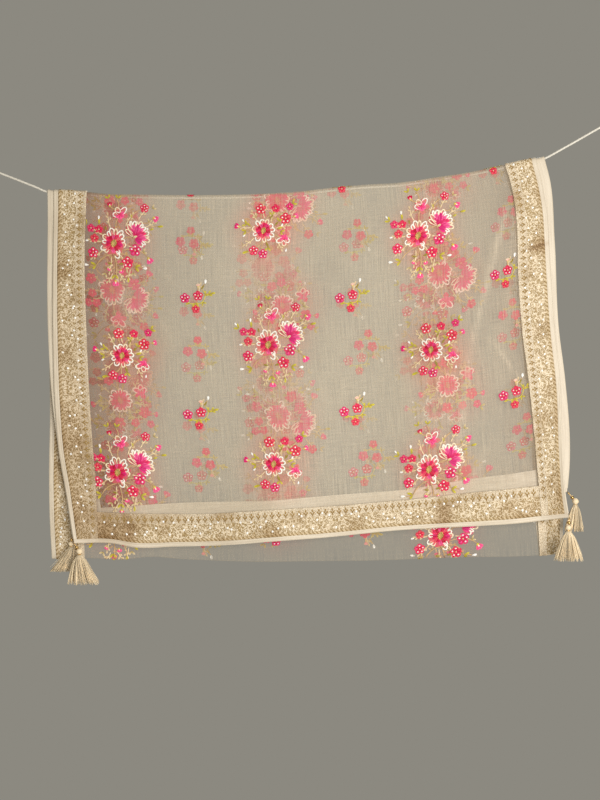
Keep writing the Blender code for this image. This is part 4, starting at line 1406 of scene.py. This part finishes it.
silk = thread_finish("silk thread", 0.42, 420.0)
cord_thread = thread_finish("couched cord", 0.5, 600.0)
glass = new_finish("white glass", (0.97, 0.96, 0.92), 0.12, Coat_Weight=0.5)
bobbin = thread_finish("bobbin thread", 0.7, 420.0)
sewn = [
    embroider("flowers", "silk", silk),
    embroider("florets", "florets", silk),
    embroider("couched_edges", "couching", cord_thread),
    embroider("vines", "vines", silk),
    embroider("drop_beads", "beads", glass),
    embroider("flowers_wrong_side", "silk", bobbin, wrong_side=True),
    embroider("florets_wrong_side", "florets", bobbin, wrong_side=True),
    embroider("edges_wrong_side", "couching", bobbin, wrong_side=True),
    embroider("vines_wrong_side", "vines", bobbin, wrong_side=True),
    embroider("floats_wrong_side", "floats", bobbin, wrong_side=True),
]


# Lace florets and sequins
# A row of small gold tulips is worked along the plain strip of the lace, 11.5 mm apart, and pale
# sequins 3.6 mm across are stitched over the scroll ground, uneven, one about every 11 mm.

TULIP_STEP = 11.5
TULIP_SHARE = 0.83
SEQUIN_STEP = 11
LACE_FACE = 1.75
TULIP_GOLD = dyed(138, 108, 58)
TULIP_TIP = dyed(178, 146, 88)
TULIP = joined([
    petal(0, -3.4, 52, 6.0, 2.4, 0.5, TULIP_GOLD, TULIP_TIP, 3, columns=3),
    petal(0, -3.4, 128, 6.0, 2.4, 0.5, TULIP_GOLD, TULIP_TIP, 3, columns=3),
    petal(0, 0.4, 90, 4.4, 2.6, 0.8, TULIP_GOLD, TULIP_TIP, 3, columns=3),
    petal(0, -5.8, 90, 3.0, 2.2, 0.5, TULIP_TIP, TULIP_GOLD, 3, columns=3),
])
SEQUIN = joined([bead(0, 0, 1.8, 0.5, WHITE)])


def along_lace(name, shape, step, share, jitter, material):
    """Sews a shape on the lace at every step, along the side strips and then the hems. jitter
    moves it by a share of the step and of the lace's width."""
    chance = np.random.default_rng(23)
    at, lift, thread, quads, uv = shape
    depth = (LACE_FACE + 0.15 + lift) * MM
    points = []
    for layer_name, layer in LAYERS.items():
        mirror = 1 if layer_name in ("front", "back_under") else -1
        for side in ("left", "right"):
            run = np.arange(step, 640 if layer.face > 0 else 590, step)[:, None]
            out = share + jitter * chance.uniform(-0.27, 0.27, run.shape)
            run = run + jitter * step * chance.uniform(-0.5, 0.5, run.shape)
            inwards = 1 if side == "left" else -1
            u = (out if side == "left" else 3 - out) + inwards * at[:, 1] / (BORDER_WIDTH / MM)
            run = (run + mirror * inwards * at[:, 0]) * MM
            made, ends = on_cloth(layer_name, u.ravel(), run.ravel(), np.tile(depth, len(u)))
            whole = ends.reshape(u.shape).max(1) < 1.8
            points.append(made.reshape(*u.shape, 3)[whole])
        if layer.face < 0:
            aside = np.arange(step, NET_SEAM_TO_SEAM - step / 2, step)[:, None]
            out = share + jitter * chance.uniform(-0.27, 0.27, aside.shape)
            aside = aside + jitter * step * chance.uniform(-0.5, 0.5, aside.shape)
            u = 1 + (aside + mirror * at[:, 0]) / NET_SEAM_TO_SEAM
            t = 2 - out - at[:, 1] / (FACING_HEIGHT / MM)
            points.append(moved_out(layer, u, t, depth + 0 * u))
    points = np.concatenate(points)
    count = len(points)
    faces = quads + len(at) * np.arange(count)[:, None, None]
    return add_piece(
        name, points, faces.reshape(-1, 4).tolist(), material,
        np.tile(uv * MM, (count, 1)), np.tile(thread, (count, 1)),
    )


borders += [
    along_lace("lace_tulips", TULIP, TULIP_STEP, TULIP_SHARE, 0.0, silk),
    along_lace("lace_sequins", SEQUIN, SEQUIN_STEP, 0.55, 1.0, glass),
]


# Tassels
# One at each corner of the cloth: gilt beads on a stitched thread, then a silk-covered knob, a
# neck bound with gold thread, and a skirt of loose silk strands that is cut a little unevenly.

STRANDS = 190
STRAND_RADIUS = 0.72
STRAND_STATIONS = 11
WALL_CLEARANCE = 0.8 * MM
FLOSS = np.array([1.0, 0.83, 0.57])
Tassel = namedtuple(
    "Tassel", "name layer side x z knob top_half end_half end_depth lean length"
)
TASSELS = [
    Tassel("left_under", "front_under", 0, -389, -603, 4.4, 6.5, 20, 6, -17, 42),
    Tassel("left_front", "front", 0, -372, -614, 5.2, 8.5, 28, 9, 6, 50),
    Tassel("right_front", "front", 3, 461, -572, 4.8, 7.5, 25, 9, 0, 50),
    Tassel("right_under", "front_under", 3, 480, -530, 5.4, 6.5, 17, 6, -2, 45),
]


def turned(outline, count, ridges=0, ridge=0.0, twist=0.0):
    """Rings of a turned shape: radius and height in mm down its axis, with ridges round it that
    may twist. It is closed by a flat ring at each end."""
    radius, height = np.array(outline, float).T
    angle = np.linspace(0, 2 * math.pi, count, endpoint=False)[None, :]
    wave = 1 + ridge * np.abs(np.sin(ridges / 2 * (angle + twist * height[:, None])))
    across = radius[:, None] * wave
    points = np.stack([across * np.cos(angle), across * np.sin(angle), height[:, None] + 0 * angle], -1)
    faces = grid_faces(len(radius), count, wrap=True)[:, ::-1].tolist()
    last = (len(radius) - 1) * count
    return points.reshape(-1, 3), [*faces, list(range(count)), list(range(last, last + count))[::-1]]


def gathered(shapes):
    """Points and faces of several shapes as one."""
    points, faces, total = [], [], 0
    for shape_points, shape_faces in shapes:
        points.append(shape_points)
        faces += [[corner + total for corner in face] for face in shape_faces]
        total += len(shape_points)
    return np.concatenate(points), faces


def skirt(row, seed):
    """Three-sided strands in mm about the knob. Each starts at the neck, swells over the head and
    falls in a spread that grows as a power of its length, with a slight wave of its own."""
    chance = np.random.default_rng(seed)
    angle = chance.uniform(0, 2 * math.pi, STRANDS)[:, None]
    rank = np.sqrt(chance.uniform(0.12, 1, STRANDS))[:, None]
    long = row.length * (1 + 0.07 * chance.standard_normal(STRANDS))[:, None].clip(0.86, 1.06)
    s = np.linspace(0, 1, STRAND_STATIONS)[None, :] ** 1.25
    head = row.top_half * (0.42 + 0.58 * np.sin(np.clip(s / 0.3, 0, 1) * math.pi / 2))
    fall = np.clip((s - 0.12) / 0.88, 0, 1)
    wide = head + (row.end_half - row.top_half) * fall**0.9
    deep = head * 0.62 + (row.end_depth - row.top_half * 0.62) * fall**0.9
    wave = 0.5 * np.sin(5 * s + 9 * angle) * fall
    x = rank * wide * np.cos(angle) + row.lean * fall**1.3 + wave
    y = rank * deep * np.sin(angle) + 0.6 * wave
    z = -0.86 * row.knob - long * s
    path = np.stack([x, y, z], -1)
    corner = np.linspace(0, 2 * math.pi, 3, endpoint=False) + angle
    thick = STRAND_RADIUS * (1.0 - 0.35 * s)[..., None, None]
    ring = np.stack([np.cos(corner), np.sin(corner), 0 * corner], -1)[:, None]
    points = path[:, :, None] + ring * thick
    faces = grid_faces(STRAND_STATIONS, 3, wrap=True)[:, ::-1]
    per_strand = STRAND_STATIONS * 3
    all_faces = (faces[None] + per_strand * np.arange(STRANDS)[:, None, None]).reshape(-1, 4).tolist()
    first = per_strand * np.arange(STRANDS)[:, None]
    all_faces += (np.arange(3) + first).tolist()
    all_faces += (np.arange(3)[::-1] + first + per_strand - 3).tolist()
    tone = 1 + 0.28 * chance.standard_normal(STRANDS)[:, None, None].clip(-1.6, 0.9)
    # Painted shade: strands deep in the skirt and near its head are darker
    tone = tone * (0.82 + 0.18 * rank)[..., None] * (0.8 + 0.2 * fall)[..., None]
    thread = FLOSS * (tone * np.ones((1, STRAND_STATIONS, 3)))[..., None]
    return points.reshape(-1, 3), all_faces, thread.reshape(-1, 3)


tassel_silk = thread_finish("tassel silk", 0.4, 500.0)
gilt = new_finish("gilt bead", (0.74, 0.50, 0.20), 0.24, Metallic=1.0)
gilt_grain = noise(gilt, add_node(gilt, "TexCoord").outputs["Object"], 900.0, 2.0)
link_shader(gilt, Normal=bumped(gilt, gilt_grain, 0.35, 0.2 * MM))
for index, row in enumerate(TASSELS):
    corner = surface(LAYERS[row.layer], float(row.side), 2.0).reshape(3)
    middle = np.array([row.x * MM, corner[1], row.z * MM])
    strands, strand_faces, strand_thread = skirt(row, 11 + index)
    k = row.knob
    knob = turned(
        [(0.12 * k, 0.98 * k), (0.5 * k, 0.86 * k), (0.84 * k, 0.52 * k), (1.0 * k, 0.05 * k),
         (0.9 * k, -0.42 * k), (0.62 * k, -0.74 * k), (0.48 * k, -0.95 * k), (0.2 * k, -1.05 * k)],
        48, 24, 0.07, 0.03,
    )
    head = turned(
        [(0.36 * row.top_half, -0.92 * k), (0.60 * row.top_half, -k - 0.04 * row.length),
         (0.72 * row.top_half, -k - 0.12 * row.length), (0.70 * row.top_half, -k - 0.30 * row.length),
         (0.3 * row.top_half, -k - 0.40 * row.length)],
        40, 20, 0.06,
    )
    head = (head[0] * (1, 0.66, 1), head[1])
    points, faces = gathered([(strands, strand_faces), knob, head])
    plain = FLOSS * np.ones((len(points) - len(strands), 1))
    plain = plain * (1 + 0.10 * np.sin(np.arange(len(plain)) * 2.4))[:, None]
    # Painted shade: the head, which shows between the strands, is darker
    plain[len(knob[0]):] *= 0.6
    thread = np.concatenate([strand_thread, plain])
    uv = np.stack([points[:, 2], np.arctan2(points[:, 1], points[:, 0]) * 5], -1) * MM
    made = add_piece(f"silk_{row.name}", points * MM + middle, faces, tassel_silk, uv, thread)
    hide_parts(f"tassel_{row.name}")

    away = middle - corner
    reach = np.linalg.norm(away) - row.knob * MM - WALL_CLEARANCE
    away /= np.linalg.norm(away)
    ball = min(3.2, reach / MM / 2)
    start, stop = 0.30 * reach / MM, reach / MM
    hanger = gathered([
        turned([(0.45, 2.4), (0.55, -0.2 * stop), (0.5, -0.6 * stop), (0.45, -stop)], 10, 4, 0.3, 3.0),
        turned([(0.3 * ball, -stop + 1.9 * ball), (0.8 * ball, -stop + 1.6 * ball), (ball, -stop + ball),
                (0.8 * ball, -stop + 0.4 * ball), (0.3 * ball, -stop + 0.1 * ball)], 20, 10, 0.10),
        turned([(0.2 * ball, -0.1 * start), (0.5 * ball, -0.25 * start), (0.5 * ball, -0.75 * start),
                (0.2 * ball, -0.95 * start)], 14, 7, 0.1),
    ])
    neck = [
        turned([(0.30 * row.top_half, h + 0.5), (0.47 * row.top_half, h + 0.32),
                (0.50 * row.top_half, h), (0.47 * row.top_half, h - 0.32),
                (0.30 * row.top_half, h - 0.5)], 28, 14, 0.05)
        for h in (-0.98 * k, -0.98 * k - 0.9, -0.98 * k - 1.8)
    ]
    neck_points, neck_faces = gathered(neck)
    turn = np.array(Vector(away).to_track_quat("-Z", "Y").to_matrix())
    hung = hanger[0] @ turn.T * MM + corner + away * WALL_CLEARANCE
    bound = neck_points * (1, 0.8, 1) * MM + middle
    points, faces = gathered([(hung, hanger[1]), (bound, neck_faces)])
    made = add_piece(f"gilt_{row.name}", points, faces, gilt)
    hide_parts(f"bead_{row.name}")
